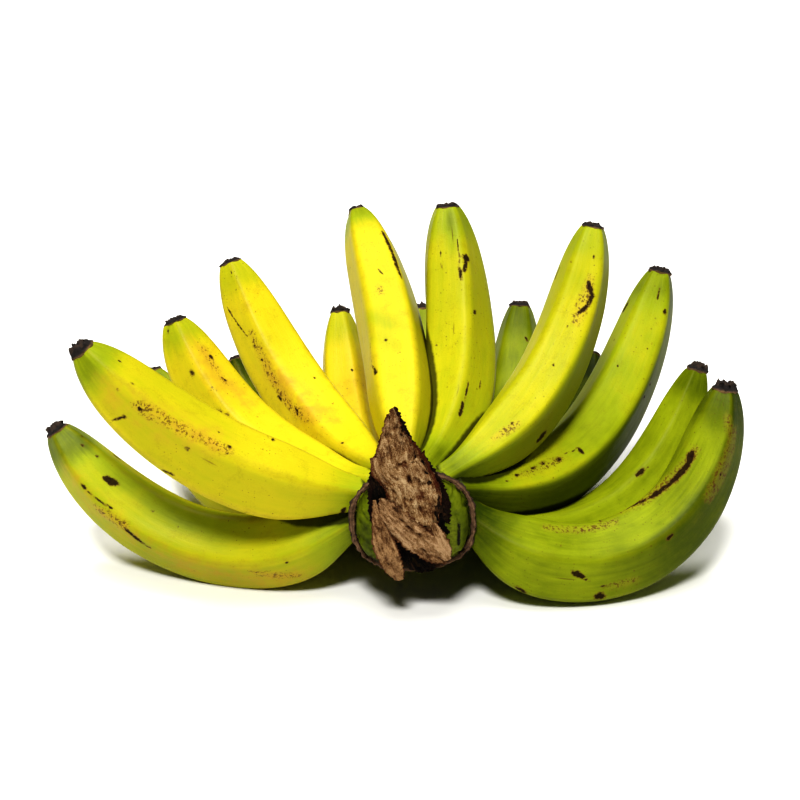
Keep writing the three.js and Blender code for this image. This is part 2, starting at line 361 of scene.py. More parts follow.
@dataclass(frozen=True)
class PeelFinish:
    """The skin of a finger, which runs from deep green to warm yellow as it ripens."""

    name: str
    ridge_tan: float
    green_tip: float
    sheen: float = 0.12
    # How dark the painted shade on a shaded face is.
    shade: float = 0.34
    # How strongly the painted shade in the creases between fingers darkens the peel.
    crease_shade_strength: float = 0.85
    roughness: float = 0.43
    deep: Colour = srgb(46, 58, 5)
    green: Colour = srgb(96, 108, 9)
    lime: Colour = srgb(146, 157, 26)
    lemon: Colour = srgb(181, 176, 28)
    yellow: Colour = srgb(204, 188, 34)
    amber: Colour = srgb(205, 174, 30)
    tan: Colour = srgb(190, 152, 50)
    crest: Colour = srgb(104, 100, 14)
    speck: Colour = srgb(84, 52, 20)
    scar: Colour = srgb(32, 18, 9)
    scar_edge: Colour = srgb(104, 74, 28)
    # The colour of the painted shade in the creases between fingers.
    crease: Colour = srgb(20, 20, 5)

    # How many features to a metre each noise has, from broad patches to the skin's grain.
    BLOTCH_SCALE = 26
    MOTTLE_SCALE = 150
    STREAK_SCALE = 420
    GRAIN_SCALE = 1500
    CRUMB_SCALE = 760
    WANDER_SCALE = 260
    # What the place on the skin is multiplied by where a pattern is drawn out along the finger.
    DRAWN_OUT = (1.0, 1.0, 0.09)
    # How ripe the peel is at each colour from deep to amber.
    RIPE_AT = (0.0, 0.2, 0.42, 0.64, 0.85, 1.0)
    # The share of the finger's length over which its tip, and its neck, turn green.
    TIP_RUN = (0.87, 0.96)
    NECK_RUN = (0.2, 0.02)
    NECK_GREEN = 0.3
    # Dots: whether they are dashes along the finger, how many to a metre, their reach, and how rare they are.
    DOTS = (
        (False, 150, 0.12, 0.8),
        (True, 240, 0.12, 0.84),
        (False, 420, 0.2, 0.82),
        (False, 800, 0.28, 0.8),
    )
    # The flecks in a band of specks: how many to a metre, and the noise at their edge.
    FLECKS = ((330, 0.59), (620, 0.57), (1100, 0.56))
    # The strength and the depth of the relief.
    RELIEF = (0.45, 0.0009)

    def material(self) -> bpy.types.Material:
        """Builds the material.

        Returns:
            The material.
        """
        board = ShaderBoard(self.name)
        place = board.place()
        skin = board.attribute("skin", "Vector")
        run = board.attribute("run")
        along = skin * self.DRAWN_OUT
        blotch = board.noise(place, self.BLOTCH_SCALE, 3, 0.55)
        mottle = board.noise(place, self.MOTTLE_SCALE, 5, 0.66)
        streak = board.noise(along, self.STREAK_SCALE, 3, 0.6)
        grain = board.noise(place, self.GRAIN_SCALE, 2, 0.6)
        ripe = self._ripeness(board, run, blotch, mottle, streak)
        colours = (self.deep, self.green, self.lime, self.lemon, self.yellow, self.amber)
        colour = board.ramp(ripe, list(zip(self.RIPE_AT, colours)))
        # Painted shade: faces marked as shaded are mixed towards deep green.
        dark = board.attribute(MarkKind.SHADY.value) * (self.shade + (blotch - 0.5) * 0.5)
        colour = board.mix(dark, colour, self.deep)
        texture = board.smooth(mottle + (grain - 0.5) * 0.5, 0.45, 0.85)
        colour = board.mix(texture * 0.3, colour, self.crest)
        colour = self._ridge_marks(board, colour, blotch, mottle)
        colour = self._dots(board, colour, place, along, blotch)
        colour, worn = self._marks(board, colour, place)
        # Painted shade: the peel turns near black where another finger's skin lies near, as in a crease's
        # shadow.
        crease = board.smooth(board.attribute("crease") + (mottle - 0.5) * 0.3, 0.25, 0.7)
        colour = board.mix(crease * self.crease_shade_strength, colour, self.crease)
        roughness = streak * 0.12 + worn * 0.35 + (self.roughness - 0.06)
        board.coat(colour, roughness, self.sheen)
        height = mottle * 0.25 + streak * 0.35 + grain * 0.12 - worn * 0.5
        board.raise_by(height, *self.RELIEF)
        return board.material

    def _ripeness(self, board: ShaderBoard, run: Wire, blotch: Wire, mottle: Wire, streak: Wire) -> Wire:
        """How ripe the peel is at a place: less at the neck, the tip, in green patches and, as part of the
        painted shade, on shaded faces.
        """
        ripe = board.attribute("ripeness") + (blotch - 0.5) * 0.42 + (mottle - 0.5) * 0.16
        ripe = ripe + (streak - 0.5) * 0.2
        tip = board.smooth(run + (streak - 0.5) * 0.1, *self.TIP_RUN)
        neck = board.smooth(run, *self.NECK_RUN)
        patch = board.attribute(MarkKind.STAIN.value) * 0.16 + board.attribute(MarkKind.SHADY.value) * 0.1
        return ripe - tip * self.green_tip - neck * self.NECK_GREEN - patch

    def _ridge_marks(self, board: ShaderBoard, colour: Wire, blotch: Wire, mottle: Wire) -> Wire:
        """Tan on the ridges and in the rubbed patches, and a darker crest."""
        ridge = board.attribute("ridge")
        rubbed = board.smooth(ridge * 0.5 + mottle * 1.1 + blotch * 0.6, 1.0, 1.6) * self.ridge_tan
        patch = board.attribute(MarkKind.RUBBED.value) * board.smooth(mottle + blotch * 0.5, 0.45, 1.0)
        colour = board.mix(rubbed + patch * 0.7, colour, self.tan)
        crest = board.smooth(ridge + (mottle - 0.5) * 0.6, 0.75, 1.1)
        return board.mix(crest * 0.16, colour, self.crest)

    def _dots(self, board: ShaderBoard, colour: Wire, place: Wire, along: Wire, blotch: Wire) -> Wire:
        """Sparse round flecks and short dashes along the finger, thicker in some places than in others."""
        thick = board.smooth(blotch, 0.42, 0.62) * 0.65 + 0.1
        for dashed, scale, reach, chosen in self.DOTS:
            cells = {"Vector": along if dashed else place, "Scale": scale}
            near = board.make("ShaderNodeTexVoronoi", {}, cells, "Distance")
            lot = board.split(near.out("Color"))[0]
            fleck = board.smooth(near, reach, reach * 0.35) * board.smooth(lot, chosen, chosen + 0.1)
            colour = board.mix(fleck * thick, colour, self.speck)
        return colour

    def _marks(self, board: ShaderBoard, colour: Wire, place: Wire) -> tuple[Wire, Wire]:
        """The marks of this finger alone: bands of specks, then dark scars.

        Returns:
            The colour, and how worn the peel is.
        """
        crumb = board.noise(place, self.CRUMB_SCALE, 4, 0.65)
        band = board.smooth(board.attribute(MarkKind.SPECKS.value) + (crumb - 0.5) * 5.0, 2.4, -0.8)
        colour = board.mix(band * 0.3, colour, self.tan)
        for scale, edge in self.FLECKS:
            fleck = board.smooth(board.noise(place, scale, 2, 0.6, scale), edge, edge + 0.05)
            colour = board.mix(band * fleck * 0.75, colour, self.speck)
        wander = board.noise(place, self.WANDER_SCALE, 2, 0.5) - 0.5
        reach = board.attribute(MarkKind.SCAR.value) + (crumb - 0.5) * 2.2 + wander * 1.8
        colour = board.mix(board.smooth(reach, 1.0, 0.1) * 0.7, colour, self.scar_edge)
        worn = board.smooth(reach, 0.35, -0.1)
        return board.mix(worn * (crumb * 0.4 + 0.72), colour, self.scar), worn


@dataclass(frozen=True)
class DryFinish:
    """Dry dark plant matter, as on a blossom end. "Shade" on the mesh runs from collar to crumb."""

    name: str
    collar: Colour
    middle: Colour
    crumb: Colour
    scale: float
    roughness: float = 0.88

    # How many times finer the second noise is, and how dark the dry matter is at each colour.
    FINER = 5
    SHADE_AT = (0.0, 0.35, 0.75)
    # The strength and the depth of the relief.
    RELIEF = (0.7, 0.0006)

    def material(self) -> bpy.types.Material:
        """Builds the material.

        Returns:
            The material.
        """
        board = ShaderBoard(self.name)
        place = board.place()
        lump = board.noise(place, self.scale, 4, 0.65)
        fine = board.noise(place, self.scale * self.FINER, 3, 0.6)
        shade = board.attribute("shade") + (lump - 0.5) * 0.7 + (fine - 0.5) * 0.4
        colour = board.ramp(shade, list(zip(self.SHADE_AT, (self.collar, self.middle, self.crumb))))
        board.coat(colour, fine * 0.2 + (self.roughness - 0.1))
        board.raise_by(lump + fine * 0.5, *self.RELIEF)
        return board.material


BLOSSOM_SCAR = DryFinish("blossom_scar", srgb(112, 88, 52), srgb(66, 50, 38), srgb(26, 19, 16), scale=620)
BRACT_SCAR = DryFinish("bract_scar", srgb(140, 112, 84), srgb(96, 70, 48), srgb(48, 32, 20), scale=260)


@dataclass(frozen=True)
class CrownFinish:
    """The crown's green flesh, stained brown where it was cut, with painted shade darkening its underside to
    brown.
    """

    name: str = "crown_flesh"
    deep: Colour = srgb(36, 44, 5)
    green: Colour = srgb(90, 101, 12)
    pale: Colour = srgb(130, 138, 36)
    # The brown of the cut stain, and of the painted shade on the underside.
    brown: Colour = srgb(36, 25, 8)
    crack: Colour = srgb(20, 15, 8)
    sheen: float = 0.12
    roughness: float = 0.5

    # How many features to a metre each noise has.
    BLOTCH_SCALE = 60
    STREAK_SCALE = 420
    CRUMB_SCALE = 900
    # What the place is multiplied by where a pattern runs from the cut to the necks.
    DRAWN_OUT = (1.0, 0.25, 1.0)
    # The tone at each colour from deep to pale.
    TONE_AT = (0.25, 0.5, 0.8)
    # The strength and the depth of the relief.
    RELIEF = (0.45, 0.0008)

    def material(self) -> bpy.types.Material:
        """Builds the material.

        Returns:
            The material.
        """
        board = ShaderBoard(self.name)
        place = board.place()
        blotch = board.noise(place, self.BLOTCH_SCALE, 3, 0.55)
        streak = board.noise(place * self.DRAWN_OUT, self.STREAK_SCALE, 3, 0.6)
        crumb = board.noise(place, self.CRUMB_SCALE, 3, 0.6)
        tone = blotch * 0.7 + streak * 0.4 - 0.05
        colour = board.ramp(tone, list(zip(self.TONE_AT, (self.deep, self.green, self.pale))))
        # The shade on the mesh holds the stain of the cut face and the painted shade of the underside.
        shade = board.attribute("shade") + (blotch - 0.5) * 0.9 + (crumb - 0.5) * 0.6
        stain = board.smooth(shade, 0.35, 0.85)
        colour = board.mix(stain, colour, self.brown)
        crack = board.smooth(board.attribute("crack") + (crumb - 0.5) * 1.2, 0.5, -0.2)
        colour = board.mix(crack, colour, self.crack)
        board.coat(colour, stain * 0.3 + crumb * 0.1 + self.roughness, self.sheen)
        board.raise_by(streak * 0.6 + crumb * 0.2 - crack, *self.RELIEF)
        return board.material


@dataclass(frozen=True)
class FibreFinish:
    """Torn stalk fibre. "Lay" on the mesh is the way across, along and into the layer, "relief" its pits."""

    name: str
    pit: Colour
    dark: Colour
    middle: Colour
    pale: Colour
    red: Colour
    bias: float = 0.0
    sheen: float = 0.15
    roughness: float = 0.92

    # How many features to a metre each noise has.
    STRAND_SCALE = 1050
    TUFT_SCALE = 380
    PATCH_SCALE = 95
    GRIT_SCALE = 2300
    BLUSH_SCALE = 120
    HAIR_SCALE = 620
    # What the lay is multiplied by, where a pattern is drawn out along the fibres.
    STRAND_LAY = (1.0, 0.16, 0.4)
    TUFT_LAY = (1.0, 0.45, 0.7)
    HAIR_LAY = (1.0, 0.1, 0.4)
    # The tone at each colour from pit to pale, and the tone of a plain place.
    TONE_AT = (0.1, 0.36, 0.6, 0.92)
    PLAIN = 0.56
    # The strength and the depth of the relief.
    RELIEF = (0.9, 0.0009)

    def material(self) -> bpy.types.Material:
        """Builds the material.

        Returns:
            The material.
        """
        board = ShaderBoard(self.name)
        place = board.place()
        lay = board.attribute("lay", "Vector")
        strand = board.noise(lay * self.STRAND_LAY, self.STRAND_SCALE, 4, 0.7)
        tuft = board.noise(lay * self.TUFT_LAY, self.TUFT_SCALE, 5, 0.68)
        patch = board.noise(place, self.PATCH_SCALE, 4, 0.6)
        grit = board.noise(place, self.GRIT_SCALE, 3, 0.7)
        relief = board.attribute("relief")
        edge = board.attribute("edge")
        tone = (relief - 0.5) * 0.5 + (strand - 0.5) * 0.9 + (tuft - 0.5) * 1.2 + (patch - 0.5) * 0.9
        tone = tone + (grit - 0.5) * 1.3 + (self.PLAIN + self.bias) - edge * 0.3
        colour = board.ramp(tone, list(zip(self.TONE_AT, (self.pit, self.dark, self.middle, self.pale))))
        blush = board.noise(place, self.BLUSH_SCALE, 3, 0.6, 4.0) + edge * 0.3 - tone * 0.15
        colour = board.mix(board.smooth(blush, 0.46, 0.66) * 0.65, colour, self.red)
        hair = board.noise(lay * self.HAIR_LAY, self.HAIR_SCALE, 2, 0.5, 7.0)
        hair = board.smooth(board.maths("ABSOLUTE", hair - 0.5), 0.022, 0.004) * board.smooth(tuft, 0.45, 0.6)
        colour = board.mix(hair * 0.5, colour, self.pale)
        board.coat(colour, grit * 0.12 + (self.roughness - 0.06), self.sheen)
        board.raise_by(strand + tuft * 0.9 + grit * 0.4, *self.RELIEF)
        return board.material


@dataclass(frozen=True)
class FloorFinish:
    """A plain pale surface."""

    name: str = "pale_floor"
    colour: Colour = (0.8, 0.8, 0.795)
    grain: Colour = (0.8, 0.8, 0.8)
    roughness: float = 0.75

    def material(self) -> bpy.types.Material:
        """Builds the material.

        Returns:
            The material.
        """
        board = ShaderBoard(self.name)
        share = board.noise(board.place(), 40, 2, 0.5) * 0.08
        board.coat(board.mix(share, self.colour, self.grain), self.roughness)
        return board.material


# Meshes


def smooth_step(value: np.ndarray, low: float, high: float) -> np.ndarray:
    """A soft step of numbers from 0 at low to 1 at high."""
    share = np.clip((value - low) / (high - low), 0, 1)
    return share * share * (3 - 2 * share)


def noise_at(points: np.ndarray, scale: float | tuple, offset: float) -> np.ndarray:
    """Soft noise at points, from -1 to 1.

    Args:
        points: Rows of three coordinates.
        scale: What the coordinates are multiplied by.
        offset: What is added to them, which tells one noise from another.

    Returns:
        A number for each row.
    """
    places = np.asarray(points, float).reshape(-1, 3) * np.asarray(scale) + offset
    values = [noise.noise(Vector(place)) for place in places]
    return np.array(values).reshape(np.asarray(points).shape[:-1])


def layered_noise(points: np.ndarray, scale: float | tuple, offset: float, layers: int) -> np.ndarray:
    """Soft noise at points with finer layers of it, each half as strong."""
    total = 0.0
    for layer in range(layers):
        total = total + noise_at(points, np.asarray(scale) * 2**layer, offset + 17 * layer) / 2**layer
    return total


def follow(rows: list[tuple], places: np.ndarray) -> np.ndarray:
    """A smooth line through rows of numbers, which heads at each from the one before to the one after.

    Args:
        rows: The numbers at even steps.
        places: Where along the rows, from 0 to 1.

    Returns:
        The numbers at each place.
    """
    known = np.array(rows, float)
    last = len(known) - 1
    at = np.clip(np.asarray(places) * last, 0, last - 1e-9)
    i = at.astype(int)
    t = (at - i)[:, None]
    before, here = known[np.maximum(i - 1, 0)], known[i]
    there, after = known[i + 1], known[np.minimum(i + 2, last)]
    curve = 2 * here + (there - before) * t + (2 * before - 5 * here + 4 * there - after) * t**2
    return (curve + (3 * here - before - 3 * there + after) * t**3) / 2


def skin_over(rings: np.ndarray, closes_on_itself: bool = False) -> list[tuple]:
    """The faces of a tube through rings that run counter-clockwise seen from the last one.

    Args:
        rings: Points in rows of one ring each.
        closes_on_itself: Whether the last ring meets the first. If not, a face closes each end.

    Returns:
        The corners of each face.
    """
    steps, count = rings.shape[:2]
    rows = steps if closes_on_itself else steps - 1
    faces = []
    for row in range(rows):
        here = row * count
        there = (row + 1) % steps * count
        for j in range(count):
            k = (j + 1) % count
            faces.append((here + j, here + k, there + k, there + j))
    if not closes_on_itself:
        faces.append(tuple(reversed(range(count))))
        faces.append(tuple(range((steps - 1) * count, steps * count)))
    return faces


def new_piece(
    name: str, points: np.ndarray, faces: list[tuple], material: bpy.types.Material
) -> bpy.types.Object:
    """Makes a mesh object from points in the fingers' measure, smooth, with its place in its mesh.

    Args:
        name: The piece's name.
        points: Rows of coordinates in millimetres.
        faces: The corners of each face.
        material: Its finish.

    Returns:
        The object.
    """
    mesh = bpy.data.meshes.new(name)
    placed = (points.reshape(-1, 3) + HAND_PLACE) * MM
    placed[:, 2] = np.maximum(placed[:, 2], LEAST_HEIGHT * MM)
    mesh.from_pydata(placed.tolist(), [], faces)
    mesh.materials.append(material)
    mesh.polygons.foreach_set("use_smooth", np.ones(len(mesh.polygons), bool))
    mesh.update()
    piece = bpy.data.objects.new(name, mesh)
    bpy.context.scene.collection.objects.link(piece)
    return piece


def put_values(piece: bpy.types.Object, name: str, values: np.ndarray) -> None:
    """Stores a number or a vector on each point of a mesh.

    Args:
        piece: The object.
        name: The attribute's name.
        values: One row for each point.
    """
    flat = np.asarray(values, np.float32)
    kind, key = ("FLOAT", "value") if flat.ndim == 1 else ("FLOAT_VECTOR", "vector")
    attribute = piece.data.attributes.new(name, kind, "POINT")
    attribute.data.foreach_set(key, flat.ravel())


def get_values(mesh: bpy.types.Mesh, name: str) -> np.ndarray:
    """Reads a number or a vector of each point of a mesh."""
    attribute = mesh.attributes[name]
    wide = attribute.data_type == "FLOAT_VECTOR"
    values = np.empty(len(attribute.data) * (3 if wide else 1), np.float32)
    attribute.data.foreach_get("vector" if wide else "value", values)
    return values.reshape(-1, 3) if wide else values


def hand_in(piece: bpy.types.Object, slot: Slot, *nodes: str) -> None:
    """Puts a finished piece on the hand's body, hides the solids that it replaces, and reports it.

    Args:
        piece: The object.
        slot: The record's slot that it takes its finish from; not used.
        nodes: The solids that it replaces.
    """
    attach(piece, BODY)
    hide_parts(*nodes)
    log.info("%s: %d faces, for %s", piece.name, len(piece.data.polygons), ", ".join(nodes))


# Fingers


@dataclass(frozen=True)
class Mark:
    """A mark on the peel: a stroke from one place on the skin to another.

    A place is the share of the finger's length from its neck, and the angle round it from the inner side.
    """

    # The share of its length where a stroke begins to fade, its width at the ends and what the middle adds to
    # that, and the run of a spot.
    FADE_START = 0.55
    TAPER = (0.65, 0.35)
    SPOT_RUN = 0.004

    kind: MarkKind
    start: tuple[float, float]
    end: tuple[float, float]
    half: float
    strength: float = 1.0

    def reach(self, run: np.ndarray, angle: np.ndarray, length: float, radius: float) -> np.ndarray:
        """How far each place of the skin is from the stroke's edge, in millimetres, less than 0 inside it.

        Args:
            run: The share of the length at each place.
            angle: The angle round the finger there.
            length: The finger's length.
            radius: Its radius.

        Returns:
            The distances.
        """
        turn = np.radians(self.start[1])
        aside = radius * np.arctan2(np.sin(angle - turn), np.cos(angle - turn))
        along = (run - self.start[0]) * length
        step, turned = np.subtract(self.end, self.start)
        way = np.array([step * length, radius * np.radians(turned)])
        span = max(float(way @ way), 1e-6)
        share = np.clip((along * way[0] + aside * way[1]) / span, 0, 1)
        taper = self.half * (self.TAPER[0] + self.TAPER[1] * np.sin(np.pi * share))
        reach = np.hypot(along - share * way[0], aside - share * way[1]) - taper
        return reach / math.sqrt(self.half) if self.kind is MarkKind.SCAR else reach

    def fade(self, run: np.ndarray) -> np.ndarray:
        """How strong the mark still is at each place: less over the last part of its stroke.

        Args:
            run: The share of the finger's length at each place.

        Returns:
            The strengths.
        """
        share = (run - self.start[0]) / (self.end[0] - self.start[0])
        return self.strength * (1 - smooth_step(share, self.FADE_START, 1.0))


def scar(s0: float, a0: float, s1: float, a1: float, half: float) -> Mark:
    """A dark scar between two places."""
    return Mark(MarkKind.SCAR, (s0, a0), (s1, a1), half)


def spot(s: float, a: float, half: float) -> Mark:
    """A small dark spot."""
    return Mark(MarkKind.SCAR, (s, a), (s + Mark.SPOT_RUN, a), half)


def specks(s0: float, a0: float, s1: float, a1: float, half: float) -> Mark:
    """A tan band of specks between two places."""
    return Mark(MarkKind.SPECKS, (s0, a0), (s1, a1), half)


def rubbed(s0: float, a0: float, s1: float, a1: float, half: float) -> Mark:
    """A pale tan patch between two places."""
    return Mark(MarkKind.RUBBED, (s0, a0), (s1, a1), half)


def stain(s0: float, a0: float, s1: float, a1: float, half: float) -> Mark:
    """A green patch between two places."""
    return Mark(MarkKind.STAIN, (s0, a0), (s1, a1), half)


def shady(s0: float, a0: float, s1: float, a1: float, half: float, strength: float) -> Mark:
    """A face with painted shade: darker and greener up to its ridges, fading towards its end."""
    return Mark(MarkKind.SHADY, (s0, a0), (s1, a1), half, strength)


@dataclass
class Finger:
    """One finger: how it grows, how ripe it is and what marks it. Angles in degrees, sizes in millimetres."""

    name: str
    neck: np.ndarray
    turn: tuple[float, float]
    climb: tuple[float, float]
    length: float
    thick: float
    neck_share: float
    roll: float
    ripeness: float
    finish: "PeelKind"
    marks: list[Mark] = field(default_factory=list)

    # How much of the bend gathers in the middle, then the girth and the swell of the neck and of the tip, the
    # share of the length that the tip takes, and how far the neck leans to the inner side.
    BEND_FOCUS = 0.6
    NECK_GIRTH = 0.42
    NECK_SWELL = 2.2
    TIP_GIRTH = 0.33
    TIP_REACH = 0.13
    TIP_SWELL = 0.9
    NECK_OFFSET = 0.3
    SPINE_STEPS = 96
    # The least and the greatest reach of a mark that the skin holds, how far inside a patch it is full, and
    # half of the soft edge of a face with painted shade.
    MARK_LIMITS = (-3.0, 8.0)
    PATCH_DEPTH = 2.0
    SOFT_EDGE = 1.4

    def axis_frame(self, s: float) -> tuple[np.ndarray, np.ndarray, np.ndarray]:
        """The finger's directions at a share of its length.

        Args:
            s: The share.

        Returns:
            The directions along the axis, to its level side and to its inner side.
        """
        bent = (1 - self.BEND_FOCUS) * s + self.BEND_FOCUS * s * s * (3 - 2 * s)
        turn = math.radians(self.turn[0] + (self.turn[1] - self.turn[0]) * bent)
        climb = math.radians(self.climb[0] + (self.climb[1] - self.climb[0]) * bent)
        flat = math.cos(climb)
        along = np.array([math.sin(turn) * flat, math.cos(turn) * flat, math.sin(climb)])
        side = np.array([math.cos(turn), -math.sin(turn), 0.0])
        return along, side, np.cross(side, along)

    def spine(self) -> np.ndarray:
        """The axis in short steps.

        Returns:
            The X, Y and Z, in the fingers' measure, and the radius of the skin at each step.
        """
        ways = [self.axis_frame((i + 0.5) / self.SPINE_STEPS)[0] for i in range(self.SPINE_STEPS)]
        points = self.neck + np.cumsum(ways, axis=0) * self.length / self.SPINE_STEPS
        s = np.arange(1, self.SPINE_STEPS + 1) / self.SPINE_STEPS
        neck = 1 - (1 - self.NECK_GIRTH) * np.exp(-((s / self.neck_share) ** self.NECK_SWELL))
        tip = 1 - (1 - self.TIP_GIRTH) * np.exp(-(((1 - s) / self.TIP_REACH) ** self.TIP_SWELL))
        return np.column_stack([points, self.thick / 2 * neck * tip])

    def tip(self) -> np.ndarray:
        """The end of the axis, in the fingers' measure."""
        return self.spine()[-1, :3]

    def tip_radius(self) -> float:
        """The radius where the blossom end sits."""
        return self.thick / 2 * self.TIP_GIRTH

    def dress(self, piece: bpy.types.Object) -> None:
        """Stores on the skin how ripe it is and how far each place is from its marks.

        Args:
            piece: The finger's object.
        """
        run = get_values(piece.data, "run")
        skin = get_values(piece.data, "skin")
        angle = np.arctan2(skin[:, 1], skin[:, 0])
        low, high = self.MARK_LIMITS
        for kind in MarkKind:
            marks = [mark for mark in self.marks if mark.kind is kind]
            reach = np.full(len(run), high)
            for mark in marks:
                reach = np.minimum(reach, mark.reach(run, angle, self.length, self.thick / 2))
            if kind in {MarkKind.STAIN, MarkKind.RUBBED}:
                reach = 1 - smooth_step(reach, -self.PATCH_DEPTH, high)
            # Painted shade: dark over the marked face, soft at its edge, fading along the finger.
            if kind is MarkKind.SHADY:
                reach = 1 - smooth_step(reach, -self.SOFT_EDGE, self.SOFT_EDGE)
                for mark in marks:
                    reach = reach * mark.fade(run)
            put_values(piece, kind.value, np.clip(reach, low, high))
        put_values(piece, "ripeness", np.full(len(run), self.ripeness))


class PeelKind(Enum):
    """The three finishes of peel, with their slots."""

    YELLOW = (
        PeelFinish("peel_yellow", ridge_tan=0.14, green_tip=0.32),
        Slot.PEEL_YELLOW,
    )
    TURNING = (
        PeelFinish("peel_turning", ridge_tan=0.0, green_tip=0.14, shade=0.5),
        Slot.PEEL_TURNING,
    )
    GREEN = (
        PeelFinish(
            "peel_green", ridge_tan=0.0, green_tip=0.16, sheen=0.07, shade=0.68, tan=srgb(150, 136, 44)
        ),
        Slot.PEEL_GREEN,
    )


